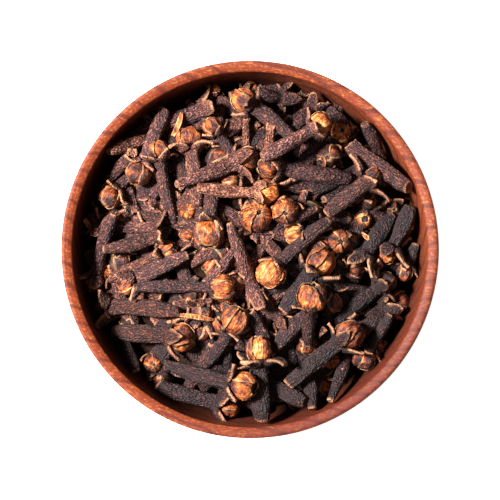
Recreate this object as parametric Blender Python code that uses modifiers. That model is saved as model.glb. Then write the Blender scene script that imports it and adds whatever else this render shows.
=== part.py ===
"""A small turned wooden bowl heaped with whole cloves, at real size.

Metres, +Z up. The origin is the middle of the foot, on the surface that the bowl stands on.
The cloves are one solid: a domed core with the cloves that show fused on. Each clove is
dropped into the bowl in turn and comes to rest on what already lies there.
"""

import math
from random import Random

import bmesh
import bpy
import numpy as np
from mathutils import Matrix, Vector

MM = 0.001

# The bowl's driving sizes.
BOWL_RADIUS = 32.0 * MM
RIM_HEIGHT = 30.0 * MM
LIP_WIDTH = 1.9 * MM
LIP_HEIGHT = 0.8 * MM
LIP_FULLNESS = 2.8
FLOOR_THICKNESS = 4.2 * MM
FOOT_RADIUS = 15.5 * MM
FOOT_EDGE = 0.4 * MM
INSIDE_FULLNESS = 2.3
OUTSIDE_FULLNESS = 2.4
BOWL_SIDES = 52

# What follows from them: the lip is a low dome on the wall's top.
LIP_BASE_HEIGHT = RIM_HEIGHT - LIP_HEIGHT
LIP_MIDDLE_RADIUS = BOWL_RADIUS - LIP_WIDTH / 2
INSIDE_RADIUS = BOWL_RADIUS - LIP_WIDTH
INSIDE_DEPTH = LIP_BASE_HEIGHT - FLOOR_THICKNESS

# The cloves' core: a low dome that keeps clear of the wood.
WALL_GAP = 0.35 * MM
CORE_MIDDLE_HEIGHT = 27.0 * MM
CORE_EDGE_HEIGHT = 20.0 * MM
CORE_SIDES = 28

# A clove.
CLOVE_SIDES = 8
STEM_SIDES = 6
SEPAL_REACH = 1.5 * MM
SEPAL_RISE = 1.0 * MM
OPEN_REACH = 1.3 * MM
OPEN_RISE = 1.6 * MM
BUD_STEM = 6.0 * MM
BUD_LENGTH = 14.0 * MM
NECK_IN_BALL = 0.78
MOST_BEND = 0.035

# How cloves come to rest on each other.
CELL = 0.3 * MM
SINK = 0.4 * MM
FACET = 0.92
BUD_SINK = 1.2 * MM
TAIL_REACH = 29.2 * MM
HEAD_REACH = 29.0 * MM
BEAD_STEP = 0.5 * MM
STEEPEST = 0.55
SLOPES = 45
BALANCE = 0.58
SEED = 11

# Every clove that shows, from the bottom of the heap up: its kind, the plan position of its tail
# and of its head, the width of its stem and the radius of its ball, in millimetres from the
# bowl's middle. A whole clove has its ball of petals, an open one has lost it, a stem has lost
# its calyx too, and a bud stands on end with only its ball showing.
HEAP = (
    ("stem", -21, 18.5, -15, 22.5, 2.4, 0),
    ("stem", -24, 16.5, -16.5, 19, 2.6, 0),
    ("stem", -24.5, 11.5, -20, 16.5, 2, 0),
    ("stem", -25, 4, -15.5, 4, 2.2, 0),
    ("bud", -19.5, -2.5, -22.5, -1, 2, 1.5),
    ("stem", -19.5, -21, -22, -15, 1.9, 0),
    ("bud", -17, -16.5, -16.5, -19.5, 2, 1.7),
    ("stem", -13, -9.5, -6.5, -9, 2, 0),
    ("stem", -10, -2.5, -3.5, 0.5, 2, 0),
    ("stem", -2.5, 0, -7.5, -6, 2, 0),
    ("stem", 9.5, 10, 8, 4.5, 1.7, 0),
    ("stem", 11.5, 7, 6, 4.5, 2.2, 0),
    ("stem", 12.5, 8.5, 19.5, 11, 2.4, 0),
    ("bud", 17, 2.5, 19.5, 5, 2, 1.4),
    ("bud", 22, 9, 24.5, 7, 1.9, 1.2),
    ("whole", 15, -12, 23.5, -5.5, 2.7, 1.7),
    ("whole", 28.5, 1, 26.5, -4, 2, 1.5),
    ("stem", 11, -28, 10, -21, 2.4, 0),
    ("stem", 9.5, -26, 2, -22, 2.6, 0),
    ("stem", 4.5, -16.5, 10.5, -10.5, 3.2, 0),
    ("stem", 3, -16, 0, -10.5, 2.4, 0),
    ("stem", 14, -26.5, 17, -18.5, 2.2, 0),
    ("bud", 16.5, -21, 14, -19, 2, 1.5),
    ("whole", 12, -4, 14, -9, 2, 1.9),
    ("stem", 6, 22.5, 11, 20.5, 2, 0),
    ("stem", -3.5, 26.5, 2, 27.5, 2.2, 0),
    ("stem", 0, 27, 5, 28, 1.7, 0),
    ("bud", 8.5, 25, 9, 26, 2, 1.4),
    ("stem", 13, 25, 17.5, 20.5, 2.2, 0),
    ("stem", 19.5, 21.5, 22.5, 15.5, 2.2, 0),
    ("bud", 15.5, 18.5, 13.5, 16, 2, 2),
    ("stem", -0.5, 23.5, -5.5, 18.5, 2.4, 0),
    ("stem", -21, 11, -19.5, 6.5, 2, 0),
    ("bud", -9, 4.5, -10.5, 6.5, 1.9, 1.4),
    ("whole", -8, 25.5, -6, 28, 1.4, 0.9),
    ("open", -23, 6, -26.5, 2, 2, 0),
    ("whole", -17.5, 15.5, -24, 9, 2.2, 2),
    ("open", -15.5, 21.5, -6.5, 24.5, 3.1, 0),
    ("whole", -2, 14.5, -6.5, 21, 2, 1.7),
    ("whole", -9, 7.5, -10.5, 19, 3.1, 2.2),
    ("open", 7, 19, 11.5, 26, 2, 0),
    ("whole", 8, 18.5, -1, 25.5, 2.6, 2.2),
    ("open", 1, 26.5, 7, 26, 2.2, 0),
    ("stem", -0.5, 16.5, -0.5, 22.5, 1.4, 0),
    ("stem", 3, 15.5, 3.5, 21, 1.9, 0),
    ("bud", 13, 16.5, 15.5, 20, 2.2, 1.8),
    ("stem", 27, 10.5, 17, 18, 3.1, 0),
    ("open", -15, 11.5, -17.5, 7, 1.9, 0),
    ("whole", -23.5, 6, -27, -6, 2.4, 1.7),
    ("whole", -24, -5, -14, 0, 2.2, 1.5),
    ("whole", 17, 12, 3, 14, 2.9, 2),
    ("bud", 11.5, 3.5, 15, 1.5, 2.2, 2.2),
    ("bud", -1.5, 0.5, 1, 5.5, 2.4, 2.6),
    ("bud", 6, 10, 6, 6.5, 2.2, 2.2),
    ("whole", 14.5, 4.5, 7.5, 2.5, 2, 1.6),
    ("open", 24.5, 6, 18.5, -2.5, 2.9, 0),
    ("whole", 27.5, 7.5, 23.5, -1, 2.6, 1.5),
    ("open", 17.5, -15, 24.5, -9, 3.2, 0),
    ("whole", 24.5, -11.5, 20, -19, 2.2, 2.2),
    ("whole", 5.5, -10.5, 12, -2, 3.1, 2.4),
    ("whole", -10.5, -1, -21, -6, 3.1, 1.9),
    ("whole", -6, 12, -7, 2.5, 2.7, 2.7),
    ("whole", -16, -23.5, -3.5, -27, 2.9, 2),
    ("whole", 2, -29, 1.5, -17, 3.2, 2.2),
    ("whole", -7.5, -20, -2.5, -12, 2.4, 2.4),
    ("whole", -13, -11, -26.5, -10.5, 3.2, 1.6),
    ("whole", -23.5, -14, -11.5, -15, 3.1, 2.4),
    ("whole", -14.5, 24, -19, 13, 2.4, 2.2),
    ("whole", -13, 4.5, -15.5, 17, 2.2, 1.7),
    ("whole", -9, 10.5, 3, 10, 2.2, 2),
    ("whole", -12.5, 11, -0.5, 15.5, 2.7, 1.9),
    ("whole", 2, 15.5, 12, 21.5, 2.4, 1.9),
    ("whole", 13, 6, 21, 12.5, 2.9, 1.5),
    ("open", -3.5, 4.5, 1.5, -9, 2.4, 0),
    ("whole", 10, -16.5, 10.5, -8, 2.2, 2.6),
    ("whole", 6.5, -23, 17, -14.5, 2.7, 2.4),
    ("whole", -14.5, -19.5, -1, -23, 2.9, 2.4),
    ("open", -25, 0, -14, 3, 2.6, 0),
    ("whole", -19.5, -6.5, -4.5, -6.5, 2.2, 2.4),
    ("whole", 13.5, 5, 3.5, -4, 2.4, 2.4),
)


def clear_scene():
    for obj in list(bpy.data.objects):
        bpy.data.objects.remove(obj, do_unlink=True)


def new_collection(name):
    collection = bpy.data.collections.new(name)
    bpy.context.scene.collection.children.link(collection)
    return collection


def add_object(name, mesh, collection):
    obj = bpy.data.objects.new(name, mesh)
    collection.objects.link(obj)
    return obj


def matte_material(name, colour, roughness):
    material = bpy.data.materials.new(name)
    material.use_nodes = True
    shader = material.node_tree.nodes["Principled BSDF"]
    shader.inputs["Base Color"].default_value = (*colour, 1.0)
    shader.inputs["Roughness"].default_value = roughness
    shader.inputs["Metallic"].default_value = 0.0
    return material


# The bowl.


def other_side(share):
    """One side of the hollow's rounded outline from the other, both as shares of their full size."""
    return (1.0 - np.clip(share, 0.0, 1.0) ** INSIDE_FULLNESS) ** (1.0 / INSIDE_FULLNESS)


def inside_height(radius, shrink=0.0):
    """Height of the hollow's surface at this distance from the axis, raised to the rim beyond it."""
    reach = np.asarray(radius) / (INSIDE_RADIUS - shrink)
    inside = LIP_BASE_HEIGHT - (INSIDE_DEPTH - shrink) * other_side(reach)
    return np.where(reach < 1.0, inside, RIM_HEIGHT)


def inside_radius(height, shrink=0.0):
    """Distance from the axis to the hollow's surface at this height."""
    depth = (LIP_BASE_HEIGHT - height) / (INSIDE_DEPTH - shrink)
    return (INSIDE_RADIUS - shrink) * float(other_side(depth))


def hollow_curve(shrink, steps, top=LIP_BASE_HEIGHT):
    """The hollow's outline from the axis up to this height, drawn in by shrink."""
    widest = inside_radius(top, shrink)
    for step in range(steps):
        radius = widest * math.sin(math.pi / 2 * step / steps)
        yield radius, float(inside_height(radius, shrink))
    yield widest, top


def lip_curve(steps):
    """The lip, nearly flat on top, from its inner side to its outer side."""
    for step in range(1, steps + 1):
        angle = math.pi * (1 - step / steps)
        across = math.copysign(abs(math.cos(angle)) ** (2 / LIP_FULLNESS), math.cos(angle))
        up = abs(math.sin(angle)) ** (2 / LIP_FULLNESS)
        yield LIP_MIDDLE_RADIUS + LIP_WIDTH / 2 * across, LIP_BASE_HEIGHT + LIP_HEIGHT * up


def outside_curve(steps):
    """The full outer side, from under the lip down to the foot."""
    for step in range(1, steps + 1):
        radius = FOOT_RADIUS + (BOWL_RADIUS - FOOT_RADIUS) * math.cos(math.pi / 2 * step / steps)
        drop = (1 - (radius / BOWL_RADIUS) ** OUTSIDE_FULLNESS) ** (1 / OUTSIDE_FULLNESS)
        yield radius, LIP_BASE_HEIGHT * (1 - drop)


def turned_mesh(name, outline):
    """An open edge path in the XZ plane, for a Screw modifier to turn."""
    mesh = bpy.data.meshes.new(name)
    bm = bmesh.new()
    verts = [bm.verts.new((radius, 0.0, height)) for radius, height in outline]
    for first, second in zip(verts, verts[1:]):
        bm.edges.new((first, second))
    bm.to_mesh(mesh)
    bm.free()
    return mesh


def add_turned(name, outline, sides, collection):
    obj = add_object(name, turned_mesh(name, outline), collection)
    screw = obj.modifiers.new("turn", "SCREW")
    screw.steps = sides
    screw.render_steps = sides
    screw.use_merge_vertices = True
    screw.merge_threshold = 0.00001
    screw.use_smooth_shade = True
    return obj


def make_bowl(collection):
    outline = list(hollow_curve(0.0, 6))
    outline += lip_curve(6)
    outline += outside_curve(8)
    outline += [
        (FOOT_RADIUS, FOOT_EDGE),
        (FOOT_RADIUS - FOOT_EDGE, 0.0),
        (0.0, 0.0),
    ]
    bowl = add_turned("bowl", outline, BOWL_SIDES, collection)
    bowl.data.materials.append(matte_material("oiled_beech", (0.45, 0.15, 0.06), 0.45))
    return bowl


# The heap's core, and the space that its cloves may fill.


def core_height(radius):
    """Top of the core, a dome that is highest in the middle and ends near the wood."""
    reach = np.asarray(radius) / inside_radius(CORE_EDGE_HEIGHT, 2 * WALL_GAP)
    dome = CORE_EDGE_HEIGHT + (CORE_MIDDLE_HEIGHT - CORE_EDGE_HEIGHT) * (1 - reach**2)
    return np.where(reach < 1.0, dome, 0.0)


def core_outline():
    """From the dome's top out to its edge, then down the side of the hollow to the axis."""
    side = list(hollow_curve(2 * WALL_GAP, 7, CORE_EDGE_HEIGHT))
    edge = side[-1][0]
    dome = [(edge * share, float(core_height(edge * share))) for share in (0.0, 0.33, 0.66)]
    return dome + side[::-1]


def make_clear_space(collection):
    """The hollow drawn in by the gap and carried on above the rim. What is outside it is cut off."""
    outline = [(0.0, 2 * RIM_HEIGHT), (INSIDE_RADIUS - WALL_GAP, 2 * RIM_HEIGHT)]
    outline += list(hollow_curve(WALL_GAP, 10))[::-1]
    space = add_turned("clear_space", outline, BOWL_SIDES, collection)
    space.hide_render = True
    space.display_type = "WIRE"
    return space


# One clove, along its own +Z from its tail. A station is a ring of its surface: height, radius,
# and how far every second corner is pushed up and out, which makes the four sepals.


def swell(share):
    """Half width of a stem along its length, as a share of half its girth."""
    belly = 0.62 + 0.4 * math.sin(math.pi * share**0.85) ** 0.7
    cup = 0.26 * max(0.0, (share - 0.8) / 0.2) ** 2
    return belly + cup


def stem_stations(length, girth, shares):
    return [(share * length, girth / 2 * swell(share), 0.0, 0.0) for share in shares]


def whole_stations(length, girth, ball):
    """A stem, its cup with four sepals, and the ball of petals, whose middle is at length."""
    neck = length - NECK_IN_BALL * ball
    stations = stem_stations(neck, girth, (0.0, 0.12, 0.5, 0.85))
    stations.append((neck, girth / 2 * swell(1.0), SEPAL_RISE, SEPAL_REACH))
    for rise, width in ((-0.42, 0.9), (0.38, 0.95), (0.92, 0.45)):
        stations.append((length + rise * ball, width * ball, 0.0, 0.0))
    return stations


def open_stations(length, girth):
    """A stem whose cup has lost its ball: four longer sepals around a shallow hollow."""
    neck = length - OPEN_RISE
    mouth = girth / 2 * swell(1.0)
    stations = stem_stations(neck, girth, (0.0, 0.12, 0.5, 0.85))
    stations.append((neck + 0.2 * MM, mouth, OPEN_RISE, OPEN_REACH))
    stations.append((neck + 0.1 * MM, mouth * 0.75, 0.0, 0.0))
    stations.append((neck - 0.5 * MM, mouth * 0.4, 0.0, 0.0))
    return stations


def stations_of(kind, length, girth, ball):
    if ball:
        return whole_stations(length, girth, ball)
    if kind == "open":
        return open_stations(length, girth)
    return stem_stations(length, girth, (0.0, 0.15, 0.6, 1.0))


def clove_mesh(name, kind, length, girth, ball, rng):
    """A cylinder with a ring for each station, drawn to the clove's shape and bent to one side."""
    sides = STEM_SIDES if kind == "stem" else CLOVE_SIDES
    stations = stations_of(kind, length, girth, ball)
    bend = rng.uniform(-MOST_BEND, MOST_BEND) * length
    roll = Matrix.Rotation(rng.uniform(0.0, math.tau), 3, "Z")
    widen = math.cos(math.pi / sides) ** -0.5
    last = len(stations) - 1
    bm = bmesh.new()
    bmesh.ops.create_cone(
        bm, cap_ends=True, segments=sides, radius1=1.0, radius2=1.0, depth=last,
        matrix=Matrix.Translation((0.0, 0.0, last / 2)),
    )
    for cut in range(1, last):
        everything = bm.verts[:] + bm.edges[:] + bm.faces[:]
        bmesh.ops.bisect_plane(bm, geom=everything, plane_co=(0, 0, cut), plane_no=(0, 0, 1))
    for vert in bm.verts:
        height, radius, rise, reach = stations[round(vert.co.z)]
        corner = round(math.atan2(vert.co.y, vert.co.x) / math.tau * sides)
        odd = corner % 2
        across = roll @ Vector((vert.co.x, vert.co.y, 0.0)) * (widen * radius + odd * reach)
        aside = bend * 4 * (height / length) * (1 - height / length)
        vert.co = across + Vector((aside, 0.0, height + odd * rise))
    bmesh.ops.triangulate(bm, faces=bm.faces)
    mesh = bpy.data.meshes.new(name)
    bm.to_mesh(mesh)
    bm.free()
    return mesh


# How the cloves come to rest.


class Ground:
    """The height of what lies in the bowl, on a square grid seen from above."""

    def __init__(self):
        axis = np.arange(-BOWL_RADIUS, BOWL_RADIUS + CELL, CELL)
        self.x, self.y = np.meshgrid(axis, axis, indexing="ij")
        radius = np.hypot(self.x, self.y)
        wood = inside_height(radius, WALL_GAP)
        self.height = np.maximum(wood, core_height(radius) - WALL_GAP)

    def window(self, x, y, radius):
        """The cells under a round bead, and how far each lies under its widest point."""
        first = [int((value - radius + BOWL_RADIUS) / CELL) for value in (x, y)]
        last = [int((value + radius + BOWL_RADIUS) / CELL) + 2 for value in (x, y)]
        cells = tuple(slice(max(low, 0), high) for low, high in zip(first, last))
        square = radius**2 - (self.x[cells] - x) ** 2 - (self.y[cells] - y) ** 2
        return cells, square > 0, np.sqrt(np.maximum(square, 0.0))

    def support(self, x, y, radius):
        """The lowest height at which a bead's middle can be over this place."""
        cells, under, drop = self.window(x, y, radius)
        return float(np.max(np.where(under, self.height[cells] + drop, 0.0)))

    def cover(self, x, y, z, radius):
        """Adds a bead that has come to rest."""
        cells, under, drop = self.window(x, y, radius)
        self.height[cells] = np.maximum(self.height[cells], np.where(under, z + drop, 0.0))


def beads_of(kind, tail, head, girth, ball):
    """Round beads inside a clove's flat sides, as (share of the way to its head, radius)."""
    count = max(int((head - tail).length / BEAD_STEP), 3)
    shares = [step / count for step in range(1, count + 1)]
    beads = [(share, FACET * girth / 2 * swell(share)) for share in shares]
    if ball:
        beads.append((1.0, FACET * ball))
    return [beads[-1]] if kind == "bud" else beads


def pulled_in(tail, head, girth, ball):
    """Moves a clove in plan until neither of its ends is over the bowl's side."""
    for end, reach in ((tail, TAIL_REACH), (head, HEAD_REACH - max(ball, girth / 2))):
        excess = end.length - reach
        if excess > 0:
            shift = end.normalized() * excess
            tail, head = tail - shift, head - shift
    return tail, head


def settle(ground, kind, tail, head, girth, ball):
    """Drops a clove on the ground, where it balances on two supports, and returns its two ends."""
    beads = beads_of(kind, tail, head, girth, ball)
    sink = BUD_SINK if kind == "bud" else SINK
    shares = np.array([share for share, _ in beads])
    places = [tail.lerp(head, share) for share, _ in beads]
    floors = np.array([ground.support(p.x, p.y, r) for p, (_, r) in zip(places, beads)])
    length = (head - tail).length
    slopes = np.linspace(-STEEPEST, STEEPEST, SLOPES)
    lift = np.max(floors[None, :] - slopes[:, None] * (shares[None, :] - BALANCE) * length, axis=1)
    best = int(np.argmin(lift))
    heights = lift[best] + slopes[best] * (shares - BALANCE) * length - sink
    for place, (_, radius), height in zip(places, beads, heights):
        ground.cover(place.x, place.y, height, radius)
    if kind == "bud":
        fall = math.sqrt(BUD_LENGTH**2 - length**2)
        return Vector((tail.x, tail.y, heights[0] - fall)), Vector((head.x, head.y, heights[0]))
    low, high = lift[best] + slopes[best] * (np.array([0.0, 1.0]) - BALANCE) * length - sink
    return Vector((tail.x, tail.y, low)), Vector((head.x, head.y, high))


def add_cloves(collection):
    ground = Ground()
    rng = Random(SEED)
    for number, (kind, *sizes) in enumerate(HEAP):
        tail_x, tail_y, head_x, head_y, girth, ball = (size * MM for size in sizes)
        ends = Vector((tail_x, tail_y, 0.0)), Vector((head_x, head_y, 0.0))
        tail, head = settle(ground, kind, *pulled_in(*ends, girth, ball), girth, ball)
        if kind == "bud":
            tail = head + (tail - head).normalized() * BUD_STEM
        axis = head - tail
        mesh = clove_mesh(f"clove_{number}", kind, axis.length, girth, ball, rng)
        lay = axis.to_track_quat("Z", "Y").to_matrix().to_4x4()
        add_object(mesh.name, mesh, collection).matrix_world = Matrix.Translation(tail) @ lay


def add_boolean(obj, operation, operand):
    boolean = obj.modifiers.new(operation.lower(), "BOOLEAN")
    boolean.operation = operation
    boolean.solver = "MANIFOLD"
    if isinstance(operand, bpy.types.Collection):
        boolean.operand_type = "COLLECTION"
        boolean.collection = operand
    else:
        boolean.object = operand
    return boolean


def largest_body(mesh):
    """Keeps the largest closed body: loose scraps go, and sealed hollows are filled."""
    bm = bmesh.new()
    bm.from_mesh(mesh)
    bodies = []
    waiting = set(bm.faces)
    while waiting:
        found = {waiting.pop()}
        edge_of_search = list(found)
        while edge_of_search:
            face = edge_of_search.pop()
            near = {other for edge in face.edges for other in edge.link_faces} & waiting
            found |= near
            waiting -= near
            edge_of_search += near
        bodies.append(found)
    bodies.sort(key=len, reverse=True)
    scraps = [face for body in bodies[1:] for face in body]
    bmesh.ops.delete(bm, geom=scraps, context="FACES")
    bm.to_mesh(mesh)
    bm.free()


def make_heap(collection, cutters):
    """The core joined with every clove and trimmed to the clear space, as one plain mesh."""
    core = add_turned("core", core_outline(), CORE_SIDES, collection)
    loose = new_collection("loose_cloves")
    add_cloves(loose)
    add_boolean(core, "UNION", loose)
    add_boolean(core, "INTERSECT", make_clear_space(cutters))
    bpy.context.view_layer.update()
    graph = bpy.context.evaluated_depsgraph_get()
    mesh = bpy.data.meshes.new_from_object(core.evaluated_get(graph))
    for obj in [core, *loose.objects]:
        bpy.data.objects.remove(obj, do_unlink=True)
    bpy.data.collections.remove(loose)
    largest_body(mesh)
    heap = add_object("cloves", mesh, collection)
    heap.data.materials.clear()
    heap.data.materials.append(matte_material("dried_clove", (0.09, 0.045, 0.03), 0.75))
    return heap


def main():
    clear_scene()
    model = new_collection("bowl_of_cloves")
    cutters = new_collection("cutters")
    make_bowl(model)
    make_heap(model, cutters)


main()
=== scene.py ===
"""Looks of a small turned beech bowl heaped with whole cloves.

Lengths in the classes and finishes are millimetres. A mesh is scaled to metres when it becomes
an object. Plan positions have +X to the right and +Y up in the view from above.
"""

import logging
import math
from dataclasses import dataclass, field
from enum import Enum
from random import Random
from typing import Iterator

import bpy
import numpy as np
from mathutils import Matrix, Vector, noise


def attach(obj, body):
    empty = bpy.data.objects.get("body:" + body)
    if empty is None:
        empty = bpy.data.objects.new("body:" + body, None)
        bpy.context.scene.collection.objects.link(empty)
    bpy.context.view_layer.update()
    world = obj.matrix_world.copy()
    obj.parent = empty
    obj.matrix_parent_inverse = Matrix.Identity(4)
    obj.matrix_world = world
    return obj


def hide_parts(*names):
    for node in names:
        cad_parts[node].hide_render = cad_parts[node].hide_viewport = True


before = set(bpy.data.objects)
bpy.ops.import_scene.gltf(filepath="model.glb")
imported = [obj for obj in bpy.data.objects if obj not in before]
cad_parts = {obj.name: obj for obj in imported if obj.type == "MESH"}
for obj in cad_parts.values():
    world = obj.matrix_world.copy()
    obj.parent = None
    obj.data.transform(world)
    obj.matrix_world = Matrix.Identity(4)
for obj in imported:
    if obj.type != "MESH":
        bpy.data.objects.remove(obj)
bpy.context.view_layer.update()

LOG = logging.getLogger("bowl_of_cloves")
MM = 0.001


class Kind(Enum):
    """How much of a clove is left, and how it lies."""

    WHOLE = "whole"
    OPEN = "open"
    STEM = "stem"
    BUD = "bud"


class Hue(Enum):
    """How far a ball's colour is from purple-brown towards straw."""

    PLUM = 0.17
    RUSSET = 0.33
    AMBER = 0.46
    STRAW = 0.54


# Every clove that shows, from the bottom of the heap up: its kind, the plan position of its tail
# and of its head, the width of its stem, the radius of its ball and the ball's colour.
HEAP: tuple[tuple[str, float, float, float, float, float, float, str], ...] = (
    ("stem", -21, 18.5, -15, 22.5, 2.4, 0, "PLUM"),
    ("stem", -24, 16.5, -16.5, 19, 2.6, 0, "PLUM"),
    ("stem", -24.5, 11.5, -20, 16.5, 2, 0, "PLUM"),
    ("stem", -25, 4, -15.5, 4, 2.2, 0, "PLUM"),
    ("bud", -19.5, -2.5, -22.5, -1, 2, 1.5, "RUSSET"),
    ("stem", -19.5, -21, -22, -15, 1.9, 0, "PLUM"),
    ("bud", -17, -16.5, -16.5, -19.5, 2, 1.7, "RUSSET"),
    ("stem", -13, -9.5, -6.5, -9, 2, 0, "PLUM"),
    ("stem", -10, -2.5, -3.5, 0.5, 2, 0, "PLUM"),
    ("stem", -2.5, 0, -7.5, -6, 2, 0, "PLUM"),
    ("stem", 9.5, 10, 8, 4.5, 1.7, 0, "PLUM"),
    ("stem", 11.5, 7, 6, 4.5, 2.2, 0, "PLUM"),
    ("stem", 12.5, 8.5, 19.5, 11, 2.4, 0, "PLUM"),
    ("bud", 17, 2.5, 19.5, 5, 2, 1.4, "STRAW"),
    ("bud", 22, 9, 24.5, 7, 1.9, 1.2, "PLUM"),
    ("whole", 15, -12, 23.5, -5.5, 2.7, 1.7, "PLUM"),
    ("whole", 28.5, 1, 26.5, -4, 2, 1.5, "PLUM"),
    ("stem", 11, -28, 10, -21, 2.4, 0, "PLUM"),
    ("stem", 9.5, -26, 2, -22, 2.6, 0, "PLUM"),
    ("stem", 4.5, -16.5, 10.5, -10.5, 3.2, 0, "PLUM"),
    ("stem", 3, -16, 0, -10.5, 2.4, 0, "PLUM"),
    ("stem", 14, -26.5, 17, -18.5, 2.2, 0, "PLUM"),
    ("bud", 16.5, -21, 14, -19, 2, 1.5, "AMBER"),
    ("whole", 12, -4, 14, -9, 2, 1.9, "PLUM"),
    ("stem", 6, 22.5, 11, 20.5, 2, 0, "PLUM"),
    ("stem", -3.5, 26.5, 2, 27.5, 2.2, 0, "PLUM"),
    ("stem", 0, 27, 5, 28, 1.7, 0, "PLUM"),
    ("bud", 8.5, 25, 9, 26, 2, 1.4, "PLUM"),
    ("stem", 13, 25, 17.5, 20.5, 2.2, 0, "PLUM"),
    ("stem", 19.5, 21.5, 22.5, 15.5, 2.2, 0, "PLUM"),
    ("bud", 15.5, 18.5, 13.5, 16, 2, 2, "PLUM"),
    ("stem", -0.5, 23.5, -5.5, 18.5, 2.4, 0, "PLUM"),
    ("stem", -21, 11, -19.5, 6.5, 2, 0, "PLUM"),
    ("bud", -9, 4.5, -10.5, 6.5, 1.9, 1.4, "AMBER"),
    ("whole", -8, 25.5, -6, 28, 1.4, 0.9, "RUSSET"),
    ("open", -23, 6, -26.5, 2, 2, 0, "PLUM"),
    ("whole", -17.5, 15.5, -24, 9, 2.2, 2, "STRAW"),
    ("open", -15.5, 21.5, -6.5, 24.5, 3.1, 0, "PLUM"),
    ("whole", -2, 14.5, -6.5, 21, 2, 1.7, "AMBER"),
    ("whole", -9, 7.5, -10.5, 19, 3.1, 2.2, "RUSSET"),
    ("open", 7, 19, 11.5, 26, 2, 0, "PLUM"),
    ("whole", 8, 18.5, -1, 25.5, 2.6, 2.2, "STRAW"),
    ("open", 1, 26.5, 7, 26, 2.2, 0, "PLUM"),
    ("stem", -0.5, 16.5, -0.5, 22.5, 1.4, 0, "PLUM"),
    ("stem", 3, 15.5, 3.5, 21, 1.9, 0, "PLUM"),
    ("bud", 13, 16.5, 15.5, 20, 2.2, 1.8, "STRAW"),
    ("stem", 27, 10.5, 17, 18, 3.1, 0, "PLUM"),
    ("open", -15, 11.5, -17.5, 7, 1.9, 0, "PLUM"),
    ("whole", -23.5, 6, -27, -6, 2.4, 1.7, "PLUM"),
    ("whole", -24, -5, -14, 0, 2.2, 1.5, "RUSSET"),
    ("whole", 17, 12, 3, 14, 2.9, 2, "PLUM"),
    ("bud", 11.5, 3.5, 15, 1.5, 2.2, 2.2, "RUSSET"),
    ("bud", -1.5, 0.5, 1, 5.5, 2.4, 2.6, "AMBER"),
    ("bud", 6, 10, 6, 6.5, 2.2, 2.2, "RUSSET"),
    ("whole", 14.5, 4.5, 7.5, 2.5, 2, 1.6, "STRAW"),
    ("open", 24.5, 6, 18.5, -2.5, 2.9, 0, "PLUM"),
    ("whole", 27.5, 7.5, 23.5, -1, 2.6, 1.5, "STRAW"),
    ("open", 17.5, -15, 24.5, -9, 3.2, 0, "PLUM"),
    ("whole", 24.5, -11.5, 20, -19, 2.2, 2.2, "PLUM"),
    ("whole", 5.5, -10.5, 12, -2, 3.1, 2.4, "AMBER"),
    ("whole", -10.5, -1, -21, -6, 3.1, 1.9, "AMBER"),
    ("whole", -6, 12, -7, 2.5, 2.7, 2.7, "AMBER"),
    ("whole", -16, -23.5, -3.5, -27, 2.9, 2, "RUSSET"),
    ("whole", 2, -29, 1.5, -17, 3.2, 2.2, "AMBER"),
    ("whole", -7.5, -20, -2.5, -12, 2.4, 2.4, "RUSSET"),
    ("whole", -13, -11, -26.5, -10.5, 3.2, 1.6, "PLUM"),
    ("whole", -23.5, -14, -11.5, -15, 3.1, 2.4, "STRAW"),
    ("whole", -14.5, 24, -19, 13, 2.4, 2.2, "RUSSET"),
    ("whole", -13, 4.5, -15.5, 17, 2.2, 1.7, "RUSSET"),
    ("whole", -9, 10.5, 3, 10, 2.2, 2, "AMBER"),
    ("whole", -12.5, 11, -0.5, 15.5, 2.7, 1.9, "PLUM"),
    ("whole", 2, 15.5, 12, 21.5, 2.4, 1.9, "AMBER"),
    ("whole", 13, 6, 21, 12.5, 2.9, 1.5, "AMBER"),
    ("open", -3.5, 4.5, 1.5, -9, 2.4, 0, "PLUM"),
    ("whole", 10, -16.5, 10.5, -8, 2.2, 2.6, "AMBER"),
    ("whole", 6.5, -23, 17, -14.5, 2.7, 2.4, "AMBER"),
    ("whole", -14.5, -19.5, -1, -23, 2.9, 2.4, "STRAW"),
    ("open", -25, 0, -14, 3, 2.6, 0, "PLUM"),
    ("whole", -19.5, -6.5, -4.5, -6.5, 2.2, 2.4, "AMBER"),
    ("whole", 13.5, 5, 3.5, -4, 2.4, 2.4, "STRAW"),
)

# The number of the first half-sunk clove, past those of the cloves that show.
DEEP_START = 200

# Loose petals and splinters on the heap: both ends in plan, width, thickness and curl.
SCRAPS: tuple[tuple[float, float, float, float, float, float, float], ...] = (
    (-11.7, 23.4, -13.8, 18.6, 0.9, 0.25, 1.0),
    (-28.4, 5.2, -27.2, 3.0, 0.8, 0.22, 0.4),
    (-11.9, -11.1, -6.1, -12.0, 0.9, 0.55, 0.2),
    (20.6, 8.6, 21.6, 7.8, 0.9, 0.3, 0.3),
    (19.3, 2.6, 20.2, 1.6, 0.8, 0.25, 0.3),
)


# Tools that the classes share.


def linear(hex_colour: str) -> tuple[float, float, float, float]:
    """Turns an sRGB hex colour into the linear one that shaders take.

    Args:
        hex_colour: six hex digits after a hash.

    Returns:
        Linear red, green, blue and an alpha of 1.
    """
    channels = [int(hex_colour[start : start + 2], 16) / 255 for start in (1, 3, 5)]
    curved = [c / 12.92 if c <= 0.04045 else ((c + 0.055) / 1.055) ** 2.4 for c in channels]
    return (curved[0], curved[1], curved[2], 1.0)


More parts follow.
